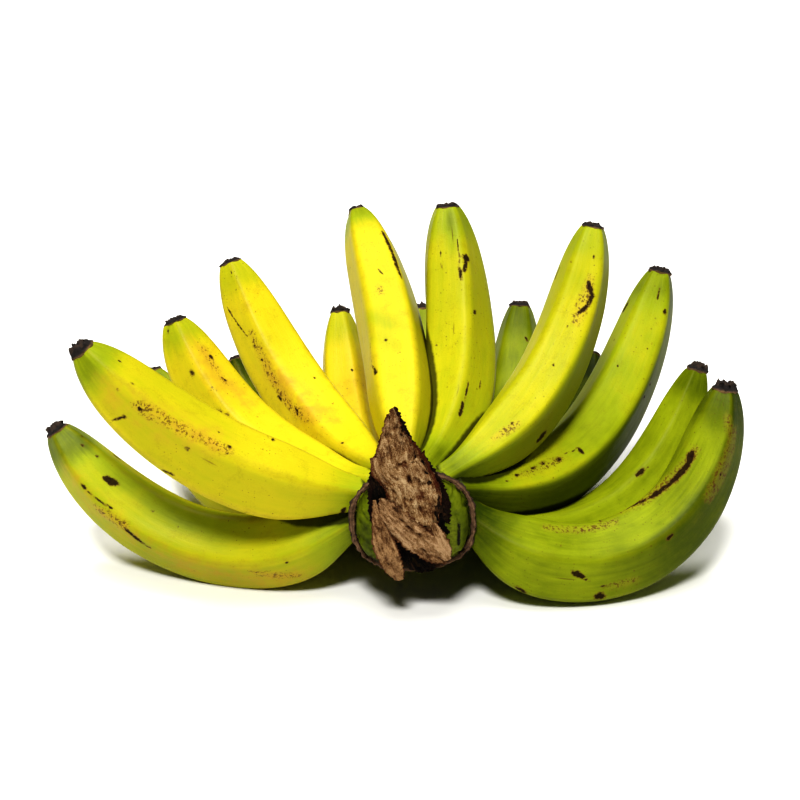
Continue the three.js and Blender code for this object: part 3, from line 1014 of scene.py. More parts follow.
class SkinTree:
    """The geometry nodes that grow a finger: a spine of short steps, then a five-faced skin about it."""

    # Points round the skin and steps along it, then the peel's faces, its ridges, and how the steps crowd up.
    SIDES = 92
    STEPS = 150
    FACES = 5
    RIDGE_SHARPNESS = 10
    CROWDING = 0.08
    # The height of lumps and dents in millimetres, how many there are to a metre, and how drawn out they are.
    LUMPS = 0.5
    LUMP_SCALE = 34
    LUMP_LAY = (1.0, 1.0, 0.6)
    DENTS = 0.14
    DENT_SCALE = 150
    DENT_LAY = (1.0, 1.0, 0.45)
    # The section's radius where a ridge begins and where it is full.
    RIDGE = (1.07, 1.155)
    # The share of the length over which the axis comes in from the neck's inner side.
    SLIM_RUN = (0.5, 0.42)
    # The inputs that are numbers.
    NUMBERS = (
        "Turn At Neck", "Turn At Tip", "Climb At Neck", "Climb At Tip", "Length", "Thickness", "Neck Share",
        "Roll", "Seed",
    )

    def __init__(self) -> None:
        """Builds the tree once, with named inputs for a finger's sizes."""
        self.tree = bpy.data.node_groups.new("finger_skin", "GeometryNodeTree")
        self.board = Board(self.tree)
        face = self.tree.interface
        self.inputs = {}
        kinds = {"Neck": "Vector", **dict.fromkeys(self.NUMBERS, "Float"), "Peel": "Material"}
        for name, kind in kinds.items():
            socket = face.new_socket(name, in_out="INPUT", socket_type="NodeSocket" + kind)
            self.inputs[name] = socket.identifier
        face.new_socket("Geometry", in_out="OUTPUT", socket_type="NodeSocketGeometry")
        self._grow(self.board.make("NodeGroupInput", {}, {}))

    def _station(self, even: Wire) -> Wire:
        """The share of the length at an even step, with the steps closer at the neck and the tip."""
        return even - self.board.maths("SINE", even * (2 * math.pi)) * self.CROWDING

    def _bent(self, given: Wire, s: Wire) -> tuple[Wire, Wire]:
        """The turn and the climb of the axis at a share of its length."""
        share = s * (1 - Finger.BEND_FOCUS) + s * s * (3 - 2 * s) * Finger.BEND_FOCUS
        neck_turn, neck_climb = given.out("Turn At Neck"), given.out("Climb At Neck")
        turn = neck_turn + (given.out("Turn At Tip") - neck_turn) * share
        climb = neck_climb + (given.out("Climb At Tip") - neck_climb) * share
        return turn, climb

    def _along(self, turn: Wire, climb: Wire) -> Wire:
        """The direction of the axis."""
        maths = self.board.maths
        flat = maths("COSINE", climb)
        aside, ahead = maths("SINE", turn) * flat, maths("COSINE", turn) * flat
        return self.board.combine(aside, ahead, maths("SINE", climb))

    def _spine(self, given: Wire) -> Wire:
        """A row of points along the axis, each a short step on from the last."""
        board = self.board
        line = board.make("GeometryNodeMeshLine", {}, {"Count": self.STEPS + 1, "Offset": (0.0, 0.0, MM)})
        index = board.make("GeometryNodeInputIndex", {}, {})
        here = self._station(index / self.STEPS)
        there = self._station((index + 1.0) / self.STEPS)
        step = self._along(*self._bent(given, (here + there) * 0.5)) * ((there - here) * given.out("Length"))
        vectors = {"data_type": "FLOAT_VECTOR"}
        walked = board.make("GeometryNodeAccumulateField", vectors, {"Value": step}, "Trailing")
        placed = {"Geometry": line, "Position": walked + given.out("Neck")}
        return board.make("GeometryNodeSetPosition", {}, placed)

    def _fold(self, angle: Wire, roll: Wire) -> Wire:
        """The radius of the five-faced section at an angle."""
        maths = self.board.maths
        total = 0.0
        for face in range(self.FACES):
            facing = maths("COSINE", angle + roll - face * 2 * math.pi / self.FACES)
            total = maths("MAXIMUM", facing, 0.0) ** float(self.RIDGE_SHARPNESS) + total
        return total ** (-1 / self.RIDGE_SHARPNESS)

    def _fold_mean(self) -> float:
        """The mean of the section's radius, by which it is divided."""
        angles = np.linspace(0, 2 * math.pi, 360, endpoint=False)
        facing = np.cos(angles[:, None] - np.arange(self.FACES) * 2 * math.pi / self.FACES)
        total = np.sum(np.maximum(facing, 0) ** self.RIDGE_SHARPNESS, 1)
        return float(np.mean(total ** (-1 / self.RIDGE_SHARPNESS)))

    def _girth(self, given: Wire, s: Wire) -> Wire:
        """The radius at a share of the length, as a share of the full one."""
        board = self.board
        neck = (s / given.out("Neck Share")) ** Finger.NECK_SWELL
        neck = 1 - board.maths("EXPONENT", -neck) * (1 - Finger.NECK_GIRTH)
        tip = (board.maths("MAXIMUM", 1 - s, 0.0) / Finger.TIP_REACH) ** Finger.TIP_SWELL
        return neck * (1 - board.maths("EXPONENT", -tip) * (1 - Finger.TIP_GIRTH))

    def _grow(self, given: Wire) -> None:
        """Lays the skin about the spine, and stores what the finish reads."""
        board = self.board
        spine = self._spine(given)
        sizes = {"Vertices": self.SIDES, "Side Segments": self.STEPS, "Radius": 1.0, "Depth": 1.0}
        kept = board.make("GeometryNodeMeshCylinder", {"fill_type": "NGON"}, sizes, "Mesh")
        x, y, z = board.split(board.make("GeometryNodeInputPosition", {}, {}))
        even = z + 0.5
        s = self._station(even)
        angle = board.maths("ARCTAN2", y, x)
        where = board.make("GeometryNodeInputPosition", {}, {})
        ring = board.make("FunctionNodeFloatToInt", {}, {0: even * self.STEPS})
        sample = {"Geometry": spine, "Value": where, "Index": ring}
        centre = board.make("GeometryNodeSampleIndex", {"data_type": "FLOAT_VECTOR"}, sample, "Value")
        turn, climb = self._bent(given, s)
        along = self._along(turn, climb)
        side = board.combine(board.maths("COSINE", turn), -board.maths("SINE", turn), 0.0)
        inner = board.maths("CROSS_PRODUCT", side, along)
        full = given.out("Thickness") * 0.5
        radius = self._girth(given, s) * full
        slim = (full - radius) * Finger.NECK_OFFSET * board.smooth(s, *self.SLIM_RUN)
        fold = self._fold(angle, given.out("Roll"))
        cosine, sine = board.maths("COSINE", angle), board.maths("SINE", angle)
        skin = board.combine(cosine * full, sine * full, s * given.out("Length"))
        seed = given.out("Seed")
        lumps = board.noise(skin * self.LUMP_LAY, self.LUMP_SCALE, 1.0, 0.5, seed) - 0.5
        dents = board.noise(skin * self.DENT_LAY, self.DENT_SCALE, 2.0, 0.5, seed + 9.0) - 0.5
        reach = radius * fold / self._fold_mean()
        reach = reach + lumps * (2 * self.LUMPS * MM) + dents * (2 * self.DENTS * MM)
        point = centre + inner * (slim + reach * cosine) + side * (reach * sine)
        px, py, pz = board.split(point)
        point = board.combine(px, py, board.maths("MAXIMUM", pz, LEAST_HEIGHT * MM))
        for name, value in {"run": s, "skin": skin, "ridge": board.smooth(fold, *self.RIDGE)}.items():
            settings = {"data_type": "FLOAT_VECTOR" if value.wide else "FLOAT", "domain": "POINT"}
            stored = {"Geometry": kept, "Name": name, "Value": value}
            kept = board.make("GeometryNodeStoreNamedAttribute", settings, stored)
        shaped = board.make("GeometryNodeSetPosition", {}, {"Geometry": kept, "Position": point})
        soft = board.make("GeometryNodeSetShadeSmooth", {}, {0: shaped, "Shade Smooth": True})
        whole = board.make("GeometryNodeRealizeInstances", {}, {"Geometry": soft})
        done = board.make("GeometryNodeSetMaterial", {}, {"Geometry": whole, "Material": given.out("Peel")})
        board.make("NodeGroupOutput", {}, {0: done})

    def skin(self, finger: Finger, seed: float, peel: bpy.types.Material) -> bpy.types.Object:
        """Grows one finger as a plain mesh.

        Args:
            finger: Its sizes.
            seed: What tells its lumps from another's.
            peel: Its finish.

        Returns:
            The object.
        """
        piece = bpy.data.objects.new(finger.name, bpy.data.meshes.new(finger.name))
        modifier = piece.modifiers.new("skin", "NODES")
        modifier.node_group = self.tree
        values = {
            "Neck": tuple((finger.neck + HAND_PLACE) * MM),
            "Turn At Neck": math.radians(finger.turn[0]),
            "Turn At Tip": math.radians(finger.turn[1]),
            "Climb At Neck": math.radians(finger.climb[0]),
            "Climb At Tip": math.radians(finger.climb[1]),
            "Length": finger.length * MM,
            "Thickness": finger.thick * MM,
            "Neck Share": finger.neck_share,
            "Roll": math.radians(finger.roll),
            "Seed": seed,
            "Peel": peel,
        }
        for name, value in values.items():
            modifier[self.inputs[name]] = value
        return as_plain_mesh(piece)


def as_plain_mesh(piece: bpy.types.Object) -> bpy.types.Object:
    """Turns what an object's geometry nodes make into its own mesh, and takes the modifier off.

    Args:
        piece: The object, not yet in the scene.

    Returns:
        The same object.
    """
    bpy.context.scene.collection.objects.link(piece)
    depsgraph = bpy.context.evaluated_depsgraph_get()
    made = piece.evaluated_get(depsgraph)
    mesh = bpy.data.meshes.new_from_object(made, preserve_all_data_layers=True, depsgraph=depsgraph)
    piece.modifiers.clear()
    piece.data = mesh
    mesh.name = piece.name
    return piece


@dataclass
class Hand:
    """The two rows of fingers, from the hand's left to its right, and the arches that the necks stand on."""

    upper_arch: dict[str, float]
    lower_arch: dict[str, float]
    fingers: list[Finger] = field(default_factory=list)
    # How near another finger's skin the painted crease shade begins.
    crease_reach: float = 5.0

    # One step of an axis in this many is enough to find the painted crease shade. The lumps' seeds are this
    # far apart.
    CREASE_STRIDE = 3
    SEED_STEP = 3.7

    def upper_neck(self, place: float) -> np.ndarray:
        """The neck of an upper finger, at an angle round the crown from its top."""
        arch, angle = self.upper_arch, math.radians(place)
        x = arch["x"] + arch["half_width"] * math.sin(angle)
        y = arch["y"] - arch["sweep"] * math.sin(angle / 2) ** 2
        return np.array([x, y, arch["z"] + arch["rise"] * math.cos(angle)])

    def lower_neck(self, place: float) -> np.ndarray:
        """The neck of a lower finger, at its X."""
        arch = self.lower_arch
        aside = (place - arch["x"]) ** 2
        return np.array([place, arch["y"] - arch["sweep"] * aside, arch["z"] + arch["rise"] * aside])

    def add(self, row: str, growth: list[tuple], looks: list[tuple]) -> None:
        """Adds a row of fingers.

        Args:
            row: "upper" or "lower".
            growth: Each finger's place, turn, climb, length, thickness, neck share and roll.
            looks: Each finger's kind of peel, ripeness and marks.
        """
        neck_of = self.upper_neck if row == "upper" else self.lower_neck
        for i, (grown, look) in enumerate(zip(growth, looks), start=1):
            place, *sizes = grown
            kind, ripeness, marks = look
            self.fingers.append(Finger(f"finger_{row}_{i}", neck_of(place), *sizes, ripeness, kind, marks))

    def build(self) -> None:
        """Grows and dresses every finger."""
        tree = SkinTree()
        peels = {kind: kind.value[0].material() for kind in PeelKind}
        spines = [finger.spine()[:: self.CREASE_STRIDE] for finger in self.fingers]
        for i, finger in enumerate(self.fingers):
            piece = tree.skin(finger, seed=self.SEED_STEP * i, peel=peels[finger.finish])
            finger.dress(piece)
            others = np.concatenate([spine for j, spine in enumerate(spines) if j != i])
            # Painted shade in the creases between this finger and the others.
            put_values(piece, "crease", self.crease(piece, others))
            piece.name = finger.name + "_peel"
            hand_in(piece, finger.finish.value[1], finger.name)

    def crease(self, piece: bpy.types.Object, others: np.ndarray) -> np.ndarray:
        """How deep each place of a finger's skin lies in the painted shade of a crease against another
        finger.

        Args:
            piece: The finger's object.
            others: The X, Y, Z and radius along the other fingers' axes.

        Returns:
            The depth, from 0 to 1.
        """
        flat = np.empty(len(piece.data.vertices) * 3, np.float32)
        piece.data.vertices.foreach_get("co", flat)
        points = flat.reshape(-1, 3) / MM - HAND_PLACE
        gap = np.full(len(points), self.crease_reach)
        for x, y, z, radius in others:
            gap = np.minimum(gap, np.sqrt(((points - (x, y, z)) ** 2).sum(1)) - radius)
        return 1 - smooth_step(gap, 0.0, self.crease_reach)


UPPER_ARCH = {"x": 8.5, "y": -53.5, "z": 42, "half_width": 18.5, "rise": 13, "sweep": 8.4}
LOWER_ARCH = {"x": 8.5, "y": -45.5, "z": 31, "sweep": 0.025, "rise": 0.015}
# Place, turn and climb at the neck and at the tip, length, thickness, neck share and roll.
UPPER_GROWTH = [
    (-104, (-77, -75), (-34, 54), 168, 33, 0.16, -22),
    (-80, (-92, -89), (10, 51), 145, 35, 0.2, 20),
    (-56, (-49, -56), (-15, 62), 144, 32.5, 0.22, 4),
    (-32, (-20, -47), (-15, 59), 175, 32, 0.24, 5),
    (-12, (0, -17), (23, 29), 171, 30.5, 0.19, 9),
    (14, (22, -18), (3, 74), 158, 33, 0.25, 26),
    (40, (48, 32), (10, 72), 151, 29.5, 0.22, 42),
    (66, (47, 34), (-20, 65), 189, 32.5, 0.2, 42),
    (98, (99, 41), (-39, 77), 173, 34, 0.15, -24),
]
LOWER_GROWTH = [
    (-10, (-45, -42), (-29, 46), 174, 31, 0.22, 12),
    (-4, (-26, -31), (-26, 40), 174, 30, 0.25, -10),
    (3, (-13, -10), (-29, 62), 181, 29, 0.22, 20),
    (9, (6, -3), (-28, 65), 176, 30.5, 0.25, 0),
    (15, (27, 9), (-29, 68), 182, 30.5, 0.25, -4),
    (21, (46, 15), (-29, 51), 170, 30, 0.25, 8),
    (26, (70, 41), (-34, 66), 172, 29, 0.22, 22),
]
# The marks include painted shade on the faces that the light is taken not to reach.
UPPER_LOOKS = [
    (PeelKind.YELLOW, 0.58, [
        scar(0.82, -46, 0.79, -40, 1.6), scar(0.85, -86, 0.84, -86, 0.7), scar(0.83, -86, 0.75, -78, 0.3),
        scar(0.69, -92, 0.61, -102, 0.7), spot(0.93, -30, 0.7), spot(0.95, -12, 0.4),
        spot(0.88, -26, 0.45), specks(0.78, -98, 0.69, -88, 2), specks(0.33, -102, 0.23, -134, 1),
        rubbed(0.89, -96, 0.61, -102, 4), rubbed(0.61, -102, 0.23, -134, 4), spot(0.65, -42, 0.45),
        spot(0.56, -48, 0.45), spot(0.23, -94, 0.4), stain(0.91, -16, 0.69, -10, 4),
        stain(0.69, -14, 0.2, -24, 7),
        scar(0.85, 32, 0.83, 32, 0.8),
    ]),
    (PeelKind.YELLOW, 0.74, [
        shady(1.0, -94, -0.1, -94, 9, 0.4),
        specks(0.79, -70, 0.71, -60, 2.4), specks(0.71, -60, 0.59, -54, 1.7),
        specks(0.56, -52, 0.48, -50, 1.5), scar(0.78, -70, 0.77, -72, 0.7),
        scar(0.81, -122, 0.79, -98, 0.35), spot(0.79, -100, 0.65), spot(0.84, -46, 0.7),
        spot(0.86, -72, 0.5), spot(0.59, -76, 1), spot(0.48, -44, 0.9), spot(0.48, -54, 0.6),
        spot(0.35, 8, 0.65), scar(0.61, -128, 0.58, -124, 0.5), scar(0.09, -154, 0.08, -112, 0.8),
        spot(0.91, -20, 0.5), spot(0.53, -28, 0.4), rubbed(0.89, -88, 0.52, -40, 5),
        specks(0.6, -156, 0.53, -154, 1),
    ]),
    (PeelKind.YELLOW, 0.84, [
        shady(1.0, -76, -0.1, -76, 9, 0.3),
        spot(0.82, -58, 1.6), spot(0.65, -56, 1.5), spot(0.62, -46, 0.6), spot(0.84, -2, 0.9),
        spot(0.74, -8, 0.5), spot(0.98, -86, 0.9), rubbed(0.91, -24, 0.63, -4, 3),
        specks(0.88, -8, 0.74, -10, 1),
    ]),
    (PeelKind.YELLOW, 0.84, [
        scar(0.89, -98, 0.78, -70, 0.3), spot(0.74, -64, 0.6), spot(0.69, -62, 0.6), spot(0.64, -54, 0.5),
        spot(0.64, -62, 0.4), scar(0.57, -72, 0.55, -70, 0.6), scar(0.48, -54, 0.46, -58, 0.7),
        specks(0.53, -64, 0.41, -50, 1.6), specks(0.78, -58, 0.53, -62, 1.6), spot(0.55, 8, 0.6),
        spot(0.97, -50, 0.45), spot(0.22, -38, 0.5), rubbed(0.69, -62, 0.35, -22, 4),
    ]),
    (PeelKind.YELLOW, 0.76, [
        shady(1.0, 64, -0.3, 64, 9, 0.8),
        scar(0.86, 24, 0.77, 26, 0.8), scar(0.77, 26, 0.7, 26, 0.7), scar(0.7, 26, 0.66, 28, 0.4),
        scar(0.44, -52, 0.36, -54, 0.25), scar(0.36, -54, 0.33, -46, 0.35), spot(0.32, -46, 0.85),
        spot(0.43, -22, 0.6), scar(0.71, -12, 0.68, -4, 0.2), specks(0.64, -18, 0.61, -16, 0.9),
        stain(0.53, -38, 0.48, -8, 1.5), stain(0.45, -40, 0.4, -4, 1),
    ]),
    (PeelKind.TURNING, 0.57, [
        shady(1.0, 50, -0.3, 50, 10, 0.35),
        scar(0.84, 10, 0.83, 18, 1.5), scar(0.83, 14, 0.79, 6, 0.8), scar(0.81, -2, 0.76, 2, 0.45),
        scar(0.9, 0, 0.81, -2, 0.2), spot(0.65, 26, 0.95), scar(0.38, 22, 0.29, 26, 0.3),
        scar(0.29, 24, 0.24, 28, 0.8), scar(0.41, 48, 0.38, 48, 0.3), spot(0.54, -44, 0.4),
        scar(0.87, -40, 0.85, -38, 0.3), scar(0.83, -38, 0.81, -36, 0.25), spot(0.88, -76, 0.4),
        spot(0.53, -6, 0.45), stain(0.97, -12, 0.88, -10, 1.5),
    ]),
    (PeelKind.TURNING, 0.6, [
        shady(1.0, 102, -0.3, 102, 10, 0.9),
        scar(0.83, 42, 0.79, 56, 0.9), scar(0.79, 56, 0.76, 52, 0.8), scar(0.76, 52, 0.72, 38, 0.6),
        specks(0.84, 44, 0.7, 40, 2.4), spot(0.91, 44, 0.5), scar(0.33, 116, 0.36, 114, 1.3),
        scar(0.86, -62, 0.82, -62, 0.3), spot(0.53, 34, 0.5), spot(0.28, 40, 0.5),
        specks(0.21, 38, 0.29, 46, 1.4), spot(0.88, -10, 0.4), spot(0.67, 28, 0.5),
    ]),
    (PeelKind.GREEN, 0.47, [
        shady(1.04, 102, -0.3, 102, 10, 0.9),
        specks(0.18, 36, 0.34, 38, 1.3), spot(0.18, 36, 0.9), spot(0.24, 32, 1), spot(0.28, 30, 1.1),
        spot(0.33, 38, 1.2), scar(0.36, 34, 0.4, 40, 0.3), scar(0.41, 42, 0.41, 50, 1),
        spot(0.14, 46, 0.5), scar(0.88, -62, 0.91, -58, 1), scar(0.96, 38, 0.93, 38, 0.5),
        spot(0.9, 62, 1), spot(0.79, -36, 0.4), spot(0.71, 8, 0.4), spot(0.79, 46, 0.4),
        spot(0.67, 82, 1.1), spot(0.71, 84, 0.7),
    ]),
    (PeelKind.GREEN, 0.3, [
        shady(1.06, 93, 0.3, 93, 12.5, 0.85),
        scar(0.82, 6, 0.79, 10, 1.8), scar(0.79, 10, 0.71, 4, 1.3), scar(0.71, 4, 0.63, -4, 0.9),
        scar(0.63, -4, 0.53, -18, 0.5), specks(0.83, 10, 0.52, -16, 2.2), specks(0.23, 6, 0.48, 0, 1),
        spot(0.43, -10, 0.8), scar(0.32, 78, 0.34, 84, 1), scar(0.34, 84, 0.36, 94, 0.4),
        scar(0.38, 122, 0.39, 124, 1.5), spot(0.39, 106, 0.6), scar(0.21, 128, 0.23, 132, 0.8),
        specks(0.41, 108, 0.47, 110, 0.9), scar(0.57, 68, 0.59, 66, 0.5), spot(0.79, 70, 0.6),
        specks(0.9, 74, 0.73, 72, 4), specks(0.94, 50, 0.86, 84, 2), spot(0.28, 38, 0.35),
    ]),
]
LOWER_LOOKS = [
    (PeelKind.YELLOW, 0.6, []),
    (PeelKind.YELLOW, 0.36, []),
    (PeelKind.YELLOW, 0.9, [
        spot(0.81, 8, 0.4),
    ]),
    (PeelKind.TURNING, 0.45, []),
    (PeelKind.GREEN, 0.4, [
        scar(0.91, 26, 0.9, 32, 0.5),
    ]),
    (PeelKind.GREEN, 0.16, []),
    (PeelKind.GREEN, 0.34, [
        scar(0.63, 20, 0.66, 20, 0.9), scar(0.66, 20, 0.68, 26, 0.3),
    ]),
]


# Blossom ends


@dataclass
class BlossomEnd:
    """The dry black plug at a finger's tip: a collar, a crumpled wall, a ragged rim and a hollow."""

    finger: Finger
    seed: int
    stand: float = 1.0
    sides: int = 64
    crumple: float = 0.24
    ragged: float = 1.8

    LOBES = 5
    FOLD_SCALE = 0.8
    SPIKE_SCALE = (1.3, 1.3, 0.4)
    # How far out along the finger, the girth, how crumpled, how ragged and the shade.
    LEVELS = (
        (-1.6, 0.92, 0.0, 0.0, 0.0),
        (-0.7, 0.98, 0.05, 0.0, 0.0),
        (-0.1, 1.01, 0.15, 0.0, 0.0),
        (0.3, 1.03, 0.35, 0.1, 0.1),
        (0.7, 1.0, 0.6, 0.15, 0.45),
        (1.1, 0.94, 0.9, 0.25, 0.85),
        (1.6, 0.87, 1.1, 0.4, 0.9),
        (2.1, 0.8, 1.3, 0.7, 0.75),
        (2.6, 0.72, 1.4, 1.0, 0.6),
        (3.0, 0.64, 1.4, 1.2, 0.5),
        (3.2, 0.55, 1.3, 1.2, 0.55),
        (3.2, 0.46, 1.2, 1.1, 0.7),
        (3.1, 0.37, 1.0, 0.9, 0.85),
        (3.2, 0.27, 0.9, 0.8, 0.7),
        (3.6, 0.16, 0.8, 0.6, 0.6),
        (3.7, 0.05, 0.5, 0.3, 0.7),
    )

    def build(self, material: bpy.types.Material) -> None:
        """Makes the plug and hands it in.

        Args:
            material: Its finish.
        """
        along, side, inner = self.finger.axis_frame(1)
        levels = np.array(self.LEVELS)
        angles = np.linspace(0, 2 * np.pi, self.sides, endpoint=False)
        ring = np.stack([np.cos(angles), np.sin(angles), np.zeros(self.sides)], -1)
        out = levels[:, 0:1] * np.where(levels[:, 0:1] > 0, self.stand, 1.0) + 0 * angles
        places = ring[None] * levels[:, 1, None, None] * 2 + out[..., None] * (0, 0, 0.5)
        folds = layered_noise(places, self.FOLD_SCALE, self.seed * 3.1, 4)
        lobes = 0.3 * np.cos(self.LOBES * angles + self.seed) + 1.4 * folds
        reach = self.finger.tip_radius() * levels[:, 1:2] * (1 + self.crumple * levels[:, 2:3] * lobes)
        spikes = layered_noise(places, self.SPIKE_SCALE, self.seed + 40.5, 4)
        lift = out + self.ragged * self.stand * levels[:, 3:4] * spikes
        points = self.finger.tip() + lift[..., None] * along
        points = points + (reach * np.cos(angles))[..., None] * inner
        points = points + (reach * np.sin(angles))[..., None] * side
        name = self.finger.name.replace("finger", "blossom_end")
        piece = new_piece(name + "_plug", points, skin_over(points), material)
        put_values(piece, "shade", np.repeat(levels[:, 4], self.sides))
        hand_in(piece, Slot.BLOSSOM_SCAR, name)


# How far each plug stands out, for the upper row and then the lower one, as a share of the full height.
PLUG_STANDS = (1.0, 1.2, 0.6, 0.6, 0.9, 0.5, 0.6, 0.8, 1.1, 0.8, 0.7, 0.9, 0.8, 0.7, 0.6, 1.1)


# The crown and its rim


@dataclass
class Crown:
    """The cushion of flesh that the fingers grow from, with rounded-box sections. Sizes in millimetres."""

    x: float = 8.5
    z: float = 41
    half_width: float = 24.5
    half_height: float = 20.5
    squareness: float = 2.6
    sides: int = 144
    steps: int = 80
    furrow_scale: tuple[float, float, float] = (0.16, 0.03, 0.16)
    swell_scale: float = 0.09
    # The X of the crack in the cut face, its ends' heights and half its width.
    crack: tuple[float, float, float, float] = (28.2, 35.0, 45.0, 0.5)
    # The depth and the half width of the furrows, and how far the flesh swells.
    furrow_depth: float = 1.1
    furrow_half: float = 0.14
    swell: float = 0.5
    # How brown the cut face is and how dark the painted shade on the underside is, and the Y and the Z
    # between which each sets in.
    cut_stain: tuple[float, float, float] = (0.35, -74, -79)
    under_painted_shade: tuple[float, float, float] = (0.95, 33, 26)

    # How full the section is at each place from the front to the back.
    PROFILE_Y = (-79.4, -77.4, -73, -66, -59, -52, -46, -41, -38)
    PROFILE = (0.78, 0.9, 0.97, 1, 1, 0.97, 0.85, 0.6, 0.28)

    def loop(self, angles: np.ndarray, half_width: np.ndarray, half_height: np.ndarray) -> tuple:
        """The rounded box at angles from its top.

        Args:
            angles: The angles, in radians.
            half_width: Its half width.
            half_height: Its half height.

        Returns:
            The X and Z of each place.
        """
        power = 2 / self.squareness
        across = np.sign(np.sin(angles)) * np.abs(np.sin(angles)) ** power
        up = np.sign(np.cos(angles)) * np.abs(np.cos(angles)) ** power
        return self.x + half_width * across, self.z + half_height * up

    def build(self, material: bpy.types.Material) -> None:
        """Makes the flesh, with furrows that run from the cut to the necks.

        Args:
            material: Its finish.
        """
        y = np.linspace(self.PROFILE_Y[0], self.PROFILE_Y[-1], self.steps)
        share = np.interp(y, self.PROFILE_Y, self.PROFILE)
        share = np.convolve(np.pad(share, 3, mode="edge"), np.ones(7) / 7, "valid")[:, None]
        angles = np.linspace(0, 2 * np.pi, self.sides, endpoint=False) + 0 * share
        x, z = self.loop(angles, self.half_width * share, self.half_height * share)
        points = np.stack([x, y[:, None] + 0 * x, z], -1)
        outward = np.stack([x - self.x, 0 * x, z - self.z], -1)
        outward /= np.linalg.norm(outward, axis=-1, keepdims=True)
        furrow = self.furrow_half - np.abs(noise_at(points, self.furrow_scale, 5.5))
        furrow = self.furrow_depth * smooth_step(furrow, 0.0, self.furrow_half)
        swell = self.swell * noise_at(points, self.swell_scale, 31.2)
        points = points + outward * (swell - furrow)[..., None]
        piece = new_piece("crown_flesh", points, skin_over(points), material)
        # The cut face's brown stain, and painted shade under the crown.
        stain_and_shade = ((self.cut_stain, points[..., 1]), (self.under_painted_shade, points[..., 2]))
        cut, under = (most * smooth_step(-at, -start, -full) for (most, start, full), at in stain_and_shade)
        put_values(piece, "shade", np.maximum(cut, under).ravel())
        crack_x, low, high, half = self.crack
        flat = points.reshape(-1, 3)
        beside = np.abs(flat[:, 0] - crack_x)
        past = np.maximum(np.maximum(low - flat[:, 2], flat[:, 2] - high), 0)
        put_values(piece, "crack", np.hypot(beside, past) - half)
        hand_in(piece, Slot.CROWN_FLESH, "crown")


@dataclass
class Rim:
    """The dry scar of the bract: a thin ragged ribbon round the crown, in front of the necks."""

    crown: Crown
    y: float = -68.5
    gap: float = 0.5
    radial: float = 1.25
    axial: float = 1.3
    wave: float = 1.1
    waves: int = 3
    steps: int = 420
    sides: int = 18
    ragged: float = 0.75
    ragged_scale: tuple[float, float, float] = (0.5, 0.8, 0.5)
    # How much the ribbon's width varies, and how quickly.
    uneven: float = 0.5
    uneven_scale: float = 0.16

    def build(self, material: bpy.types.Material) -> None:
        """Makes the ribbon.

        Args:
            material: Its finish.
        """
        angles = np.linspace(0, 2 * np.pi, self.steps, endpoint=False)
        out = self.radial + self.gap
        x, z = self.crown.loop(angles, self.crown.half_width + out, self.crown.half_height + out)
        y = self.y + self.wave * np.sin(self.waves * angles + 1)
        centre = np.stack([x, y, z], -1)
        outward = centre - np.array([self.crown.x, 0, self.crown.z])
        outward[:, 1] = 0
        outward /= np.linalg.norm(outward, axis=-1, keepdims=True)
        turns = np.linspace(0, 2 * np.pi, self.sides, endpoint=False)
        wide = 1 + self.uneven * noise_at(centre, self.uneven_scale, 8.1)[:, None]
        points = centre[:, None] + outward[:, None] * (self.radial * wide * np.sin(turns))[..., None]
        points[..., 1] += self.axial * wide * np.cos(turns)
        rough = self.ragged * layered_noise(points, self.ragged_scale, 12.7, 3)
        points += outward[:, None] * (rough * np.sin(turns))[..., None]
        points[..., 1] += rough * np.cos(turns)
        piece = new_piece("crown_rim_ribbon", points, skin_over(points, closes_on_itself=True), material)
        # Painted shade: darker where the ribbon turns outward, and a painted groove shadow along its middle
        # where no groove is modelled.
        painted_groove_shade = 0.4 * np.exp(-((np.sin(turns) - 0.25 * noise_at(centre, 0.09, 3.4)[:, None]) / 0.2) ** 2)
        shade = 0.2 + 0.75 * np.abs(np.sin(turns)) ** 3 + painted_groove_shade
        put_values(piece, "shade", shade.ravel())
        hand_in(piece, Slot.BRACT_SCAR, "crown_rim")


# The stalk slice and its torn layers


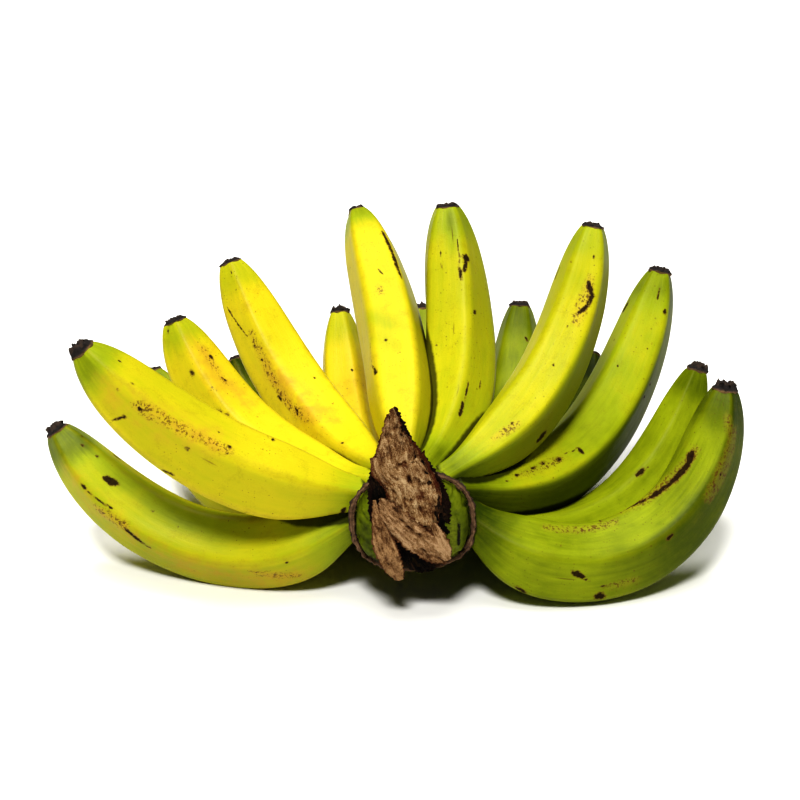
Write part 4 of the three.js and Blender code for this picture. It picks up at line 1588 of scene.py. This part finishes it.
@dataclass
class TornLayer:
    """A layer of stalk fibre: it follows a path, pillowed in front, and its fibres run along it.

    Each row of the path is X, Y, Z and the half width there, in millimetres.
    """

    name: str
    path: list[tuple[float, float, float, float]]
    front: float
    back: float
    finish: FibreFinish
    node: str
    relief: float = 0.7
    fray: float = 0.6
    seed: float = 1.0
    sides: int = 150
    steps: int = 220
    # How far the layer's left edge falls back, and the share of its width where that fold starts.
    fold: tuple[float, float] = (0.0, 0.0)

    FRONT_SHARE = 0.7
    LEAST_HALF = 0.35
    OUTWARD = np.array([0.0, -1.0, 0.0])
    # The way in the noise that parts one edge's fray from the other's, and the front's strands from the
    # back's.
    EDGE_GAP = 9
    BACK_GAP = 5.0
    # The scales of the noises across, along and into the layer.
    FRAY_SCALE = (1.0, 0.9, 1.0)
    STRAND_SCALE = (0.8, 0.2, 1.0)
    LUMP_SCALE = (0.14, 0.09, 1.0)
    PIT_SCALE = (0.38, 0.2, 1.0)
    # How strong the strands, the lumps and the pits are, and the noise over which a pit opens.
    STRANDS = 0.4
    LUMPS = 1.0
    PITS = 2.4
    PIT_START = 0.14

    def _section(self) -> tuple[np.ndarray, np.ndarray]:
        """The places across the layer from -1 to 1, forwards over its front and home over its back.

        Returns:
            The places, and 1 for the front or -1 for the back.
        """
        front = int(self.sides * self.FRONT_SHARE)
        over = -np.cos(np.linspace(0, np.pi, front, endpoint=False))
        home = np.cos(np.linspace(0, np.pi, self.sides - front, endpoint=False))
        return np.concatenate([over, home]), np.concatenate([np.ones(front), -np.ones(len(home))])

    def _height(self, lay: np.ndarray) -> np.ndarray:
        """The relief of strands, lumps and pits.

        Args:
            lay: The place across, along and into the layer.

        Returns:
            The height of each place.
        """
        strand = 1 - 2 * np.abs(layered_noise(lay, self.STRAND_SCALE, self.seed + 3.3, 3))
        lump = layered_noise(lay, self.LUMP_SCALE, self.seed + 71.7, 4)
        pits = np.maximum(layered_noise(lay, self.PIT_SCALE, self.seed + 23.1, 3) - self.PIT_START, 0)
        return self.STRANDS * strand + self.LUMPS * lump - self.PITS * pits

    def build(self) -> None:
        """Makes the layer and hands it in."""
        rows = follow(self.path, np.linspace(0, 1, self.steps))
        centre, half = rows[:, :3], np.maximum(rows[:, 3], self.LEAST_HALF)
        along = np.gradient(centre, axis=0)
        walked = np.concatenate([[0], np.cumsum(np.linalg.norm(np.diff(centre, axis=0), axis=1))])
        along /= np.linalg.norm(along, axis=1, keepdims=True)
        across = np.cross(along, self.OUTWARD)
        across /= np.linalg.norm(across, axis=1, keepdims=True)
        forward = np.cross(across, along)
        forward *= np.sign(forward @ self.OUTWARD)[:, None]
        place, facing = self._section()
        level = 0 * half[:, None] + 0 * place
        frayed = np.stack([np.sign(place) * self.EDGE_GAP + level, walked[:, None] + level, level], -1)
        edge = self.fray * layered_noise(frayed, self.FRAY_SCALE, self.seed, 4) * np.abs(place) ** 3
        wide = place * (half[:, None] + edge)
        lay = np.stack([wide, walked[:, None] + level, np.where(facing > 0, 0.0, self.BACK_GAP) + level], -1)
        height = self._height(lay)
        fill = np.sqrt(half / half.max())[:, None]
        pillow = (1 - np.abs(place) ** 2.6) ** 0.55
        depth = np.where(facing > 0, self.front, -self.back) * fill * pillow
        depth = depth + (
            facing * self.relief * height * np.minimum(pillow * 2, 1) * np.minimum(half[:, None] / 3, 1)
        )
        fall, start = self.fold
        depth = depth - fall * np.maximum(-place - start, 0) / (1 - start) * (facing > 0)
        points = centre[:, None] + across[:, None] * wide[..., None] + forward[:, None] * depth[..., None]
        faces = skin_over(points)
        if np.mean(np.einsum("ij,ij->i", np.cross(across, along), forward)) > 0:
            faces = [tuple(reversed(face)) for face in faces]
        piece = new_piece(self.name, points, faces, self.finish.material())
        put_values(piece, "lay", (lay * MM).reshape(-1, 3))
        put_values(piece, "relief", np.clip(0.5 + 0.4 * height, 0, 1).ravel())
        put_values(piece, "edge", (smooth_step(np.abs(place), 0.8, 1.0) + level).ravel())
        hand_in(piece, Slot.STALK_FIBRE, self.node)


def fibre(name: str, bias: float, *shades: tuple[int, int, int]) -> FibreFinish:
    """A finish of fibre from the shades of its pits, its dark, middle and pale strands, and its red ones."""
    return FibreFinish(name, *(srgb(*shade) for shade in shades), bias=bias)


# The rind's near-black is partly its own dark colour and partly painted shade on the slice's side wall.
RIND = fibre("stalk_rind", -0.1, (4, 3, 2), (12, 8, 5), (30, 20, 12), (74, 50, 30), (34, 15, 8))
FACE = fibre("stalk_face", 0.0, (38, 19, 9), (92, 60, 34), (142, 111, 74), (192, 166, 128), (84, 40, 20))
LAYER = fibre("stalk_layer", 0.08, (34, 19, 10), (86, 59, 36), (132, 101, 68), (180, 150, 114), (80, 42, 22))
FLAP = fibre("stalk_flap", 0.06, (32, 18, 9), (76, 50, 28), (116, 86, 56), (164, 132, 94), (74, 38, 20))

# The Y of the slice's middle at one height, and how far it leans out for each millimetre over that height.
SLICE_Y = -79.6
SLICE_Z = 55
SLICE_LEAN = 4 / 84

# How far each layer lies before the slice's middle, then its X, Z and half width from its top down.
BODY_PATH = (0.0, [
    (1, 99.6, 0.8), (1, 96, 2.4), (1.3, 89, 5), (1.8, 80, 8.8), (3.2, 71, 13.2), (5, 62, 16), (7.2, 52, 17.5),
    (9.3, 44, 16.1), (11.5, 38, 14.3), (13.3, 33, 12.3), (15.7, 27.5, 9.2), (19, 24, 3),
])
FACE_PATH = (2.4, [
    (0.1, 100.2, 0.8), (0, 95.4, 2.9), (-0.3, 89.6, 4.5), (0.6, 84.2, 7), (1.6, 79, 9.9), (2.2, 74.2, 11.9),
    (5.6, 69, 10.9), (7.8, 63, 11.2), (9.6, 57.6, 11.2), (12, 52, 9.4), (14.6, 46.6, 5.6), (16.6, 42.4, 2),
])
LOWER_PATH = (4.6, [
    (-5.4, 59.2, 0.8), (-3, 55.4, 3.6), (0.4, 50.4, 5.6), (4.4, 45.4, 6.4), (8.8, 41, 6.6), (13.2, 37.4, 6.4),
    (17.6, 34, 5.8), (21.4, 31, 4.2), (23.6, 29.2, 1.4),
])
TOE_PATH = (4.2, [
    (17.6, 47.4, 0.8), (18.4, 43.4, 2.6), (20, 38.6, 3.8), (21.8, 33.6, 3.6), (23.4, 29.6, 1.6),
])
# The flap's X, Y, Z and half width from its top down.
FLAP_PATH = [
    (-7.8, -83.2, 58, 0.7), (-7.2, -84.2, 52, 1.8), (-5.9, -85, 45.6, 3.2), (-4.2, -85.6, 39, 4.9),
    (-2, -85.8, 33, 5), (0.2, -85.4, 27.6, 4.4), (1.9, -84.6, 23.6, 3.2), (3.2, -84, 20.6, 1.6),
]


def on_slice(out: float, rows: list[tuple]) -> list[tuple]:
    """A layer's path, laid on the slice, which leans out towards its top.

    Args:
        out: How far the layer lies before the slice's middle.
        rows: Its X, Z and half width at each place.

    Returns:
        Its X, Y, Z and half width at each place.
    """
    return [(x, SLICE_Y - SLICE_LEAN * (z - SLICE_Z) - out, z, half) for x, z, half in rows]


def stalk_layers() -> list[TornLayer]:
    """The slice's dark body, its pale torn face, the layer below, and the flap.

    Returns:
        The layers, from the back to the front.
    """
    node = "stalk_slice"
    return [
        TornLayer("stalk_rind", on_slice(*BODY_PATH), 2.4, 3.6, RIND, node,
                  relief=0.8, fray=1.3, seed=2.1),
        TornLayer("stalk_face", on_slice(*FACE_PATH), 1.9, 1.4, FACE, node,
                  relief=0.9, fray=0.8, seed=9.4, fold=(2.4, 0.45)),
        TornLayer("stalk_lower_layer", on_slice(*LOWER_PATH), 1.1, 1.2, LAYER, node,
                  relief=0.6, fray=1.0, seed=15.2, sides=110),
        TornLayer("stalk_toe", on_slice(*TOE_PATH), 1.1, 1.2, LAYER, node,
                  relief=0.5, fray=0.7, seed=22.8, sides=70, steps=110),
        TornLayer("stalk_flap_strip", FLAP_PATH, 1.0, 0.7, FLAP, "stalk_flap",
                  relief=0.45, fray=0.7, seed=31.9, sides=110, steps=200),
    ]


# The studio


@dataclass
class Studio:
    """A pale floor, soft light from overhead and from the front left, and the camera."""

    floor_half: float = 12.0
    aim: tuple[float, float, float] = (4.6, -10.3, 69.6)
    distance: float = 900
    elevation: float = 22
    lens: float = 88.04
    sensor: float = 36
    # The nearest and the farthest that the camera sees, in metres.
    sight: tuple[float, float] = (0.01, 60)
    light_colour: Colour = (1.0, 0.985, 0.95)
    sky: float = 0.06
    # The name of each light, its strength, the way it shines and how wide it looks.
    lights: tuple = (
        ("overhead", 2.0, (0.04, -0.1, -0.99), 40),
        ("front", 2.7, (0.1, 0.52, -0.85), 14),
    )

    def build(self) -> None:
        """Makes the floor, the lights and the camera."""
        self._floor()
        self._lights()
        self._camera()

    def _floor(self) -> None:
        """A wide flat sheet under the hand."""
        mesh = bpy.data.meshes.new("floor")
        reach = self.floor_half
        corners = [(-reach, -reach, 0), (reach, -reach, 0), (reach, reach, 0), (-reach, reach, 0)]
        mesh.from_pydata(corners, [], [(0, 1, 2, 3)])
        mesh.materials.append(FloorFinish().material())
        floor = bpy.data.objects.new("floor", mesh)
        bpy.context.scene.collection.objects.link(floor)

    def _lights(self) -> None:
        """A white sky, and a wide sun for each light."""
        world = bpy.data.worlds.new("sky")
        world.use_nodes = True
        background = next(n for n in world.node_tree.nodes if n.type == "BACKGROUND")
        background.inputs["Color"].default_value = (1, 1, 1, 1)
        background.inputs["Strength"].default_value = self.sky
        bpy.context.scene.world = world
        for name, strength, way, spread in self.lights:
            light = bpy.data.lights.new(name, "SUN")
            light.energy = strength
            light.angle = math.radians(spread)
            light.color = self.light_colour
            lamp = bpy.data.objects.new(name, light)
            lamp.rotation_euler = Vector(way).to_track_quat("-Z", "Y").to_euler()
            lamp.location = -Vector(way)
            bpy.context.scene.collection.objects.link(lamp)

    def _camera(self) -> None:
        """The view along +Y, from a little above."""
        tilt = math.radians(self.elevation)
        back = Vector((0, -math.cos(tilt), math.sin(tilt)))
        data = bpy.data.cameras.new("camera")
        data.sensor_width = self.sensor
        data.lens = self.lens
        data.clip_start, data.clip_end = self.sight
        camera = bpy.data.objects.new("camera", data)
        camera.location = (Vector(self.aim) + back * self.distance) * MM
        camera.rotation_euler = (-back).to_track_quat("-Z", "Y").to_euler()
        bpy.context.scene.collection.objects.link(camera)
        scene = bpy.context.scene
        scene.camera = camera
        scene.view_settings.view_transform = "Standard"
        scene.view_settings.look = "High Contrast"


def main() -> None:
    """Builds the scene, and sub-assembly by sub-assembly."""
    logging.basicConfig(level=logging.INFO, format="%(message)s")
    Studio().build()
    hand = Hand(UPPER_ARCH, LOWER_ARCH)
    hand.add("upper", UPPER_GROWTH, UPPER_LOOKS)
    hand.add("lower", LOWER_GROWTH, LOWER_LOOKS)
    hand.build()
    plug = BLOSSOM_SCAR.material()
    for i, (finger, stand) in enumerate(zip(hand.fingers, PLUG_STANDS)):
        BlossomEnd(finger, seed=i + 1, stand=stand).build(plug)
    crown = Crown()
    crown.build(CrownFinish().material())
    Rim(crown).build(BRACT_SCAR.material())
    for layer in stalk_layers():
        layer.build()


if __name__ == "__main__":
    main()
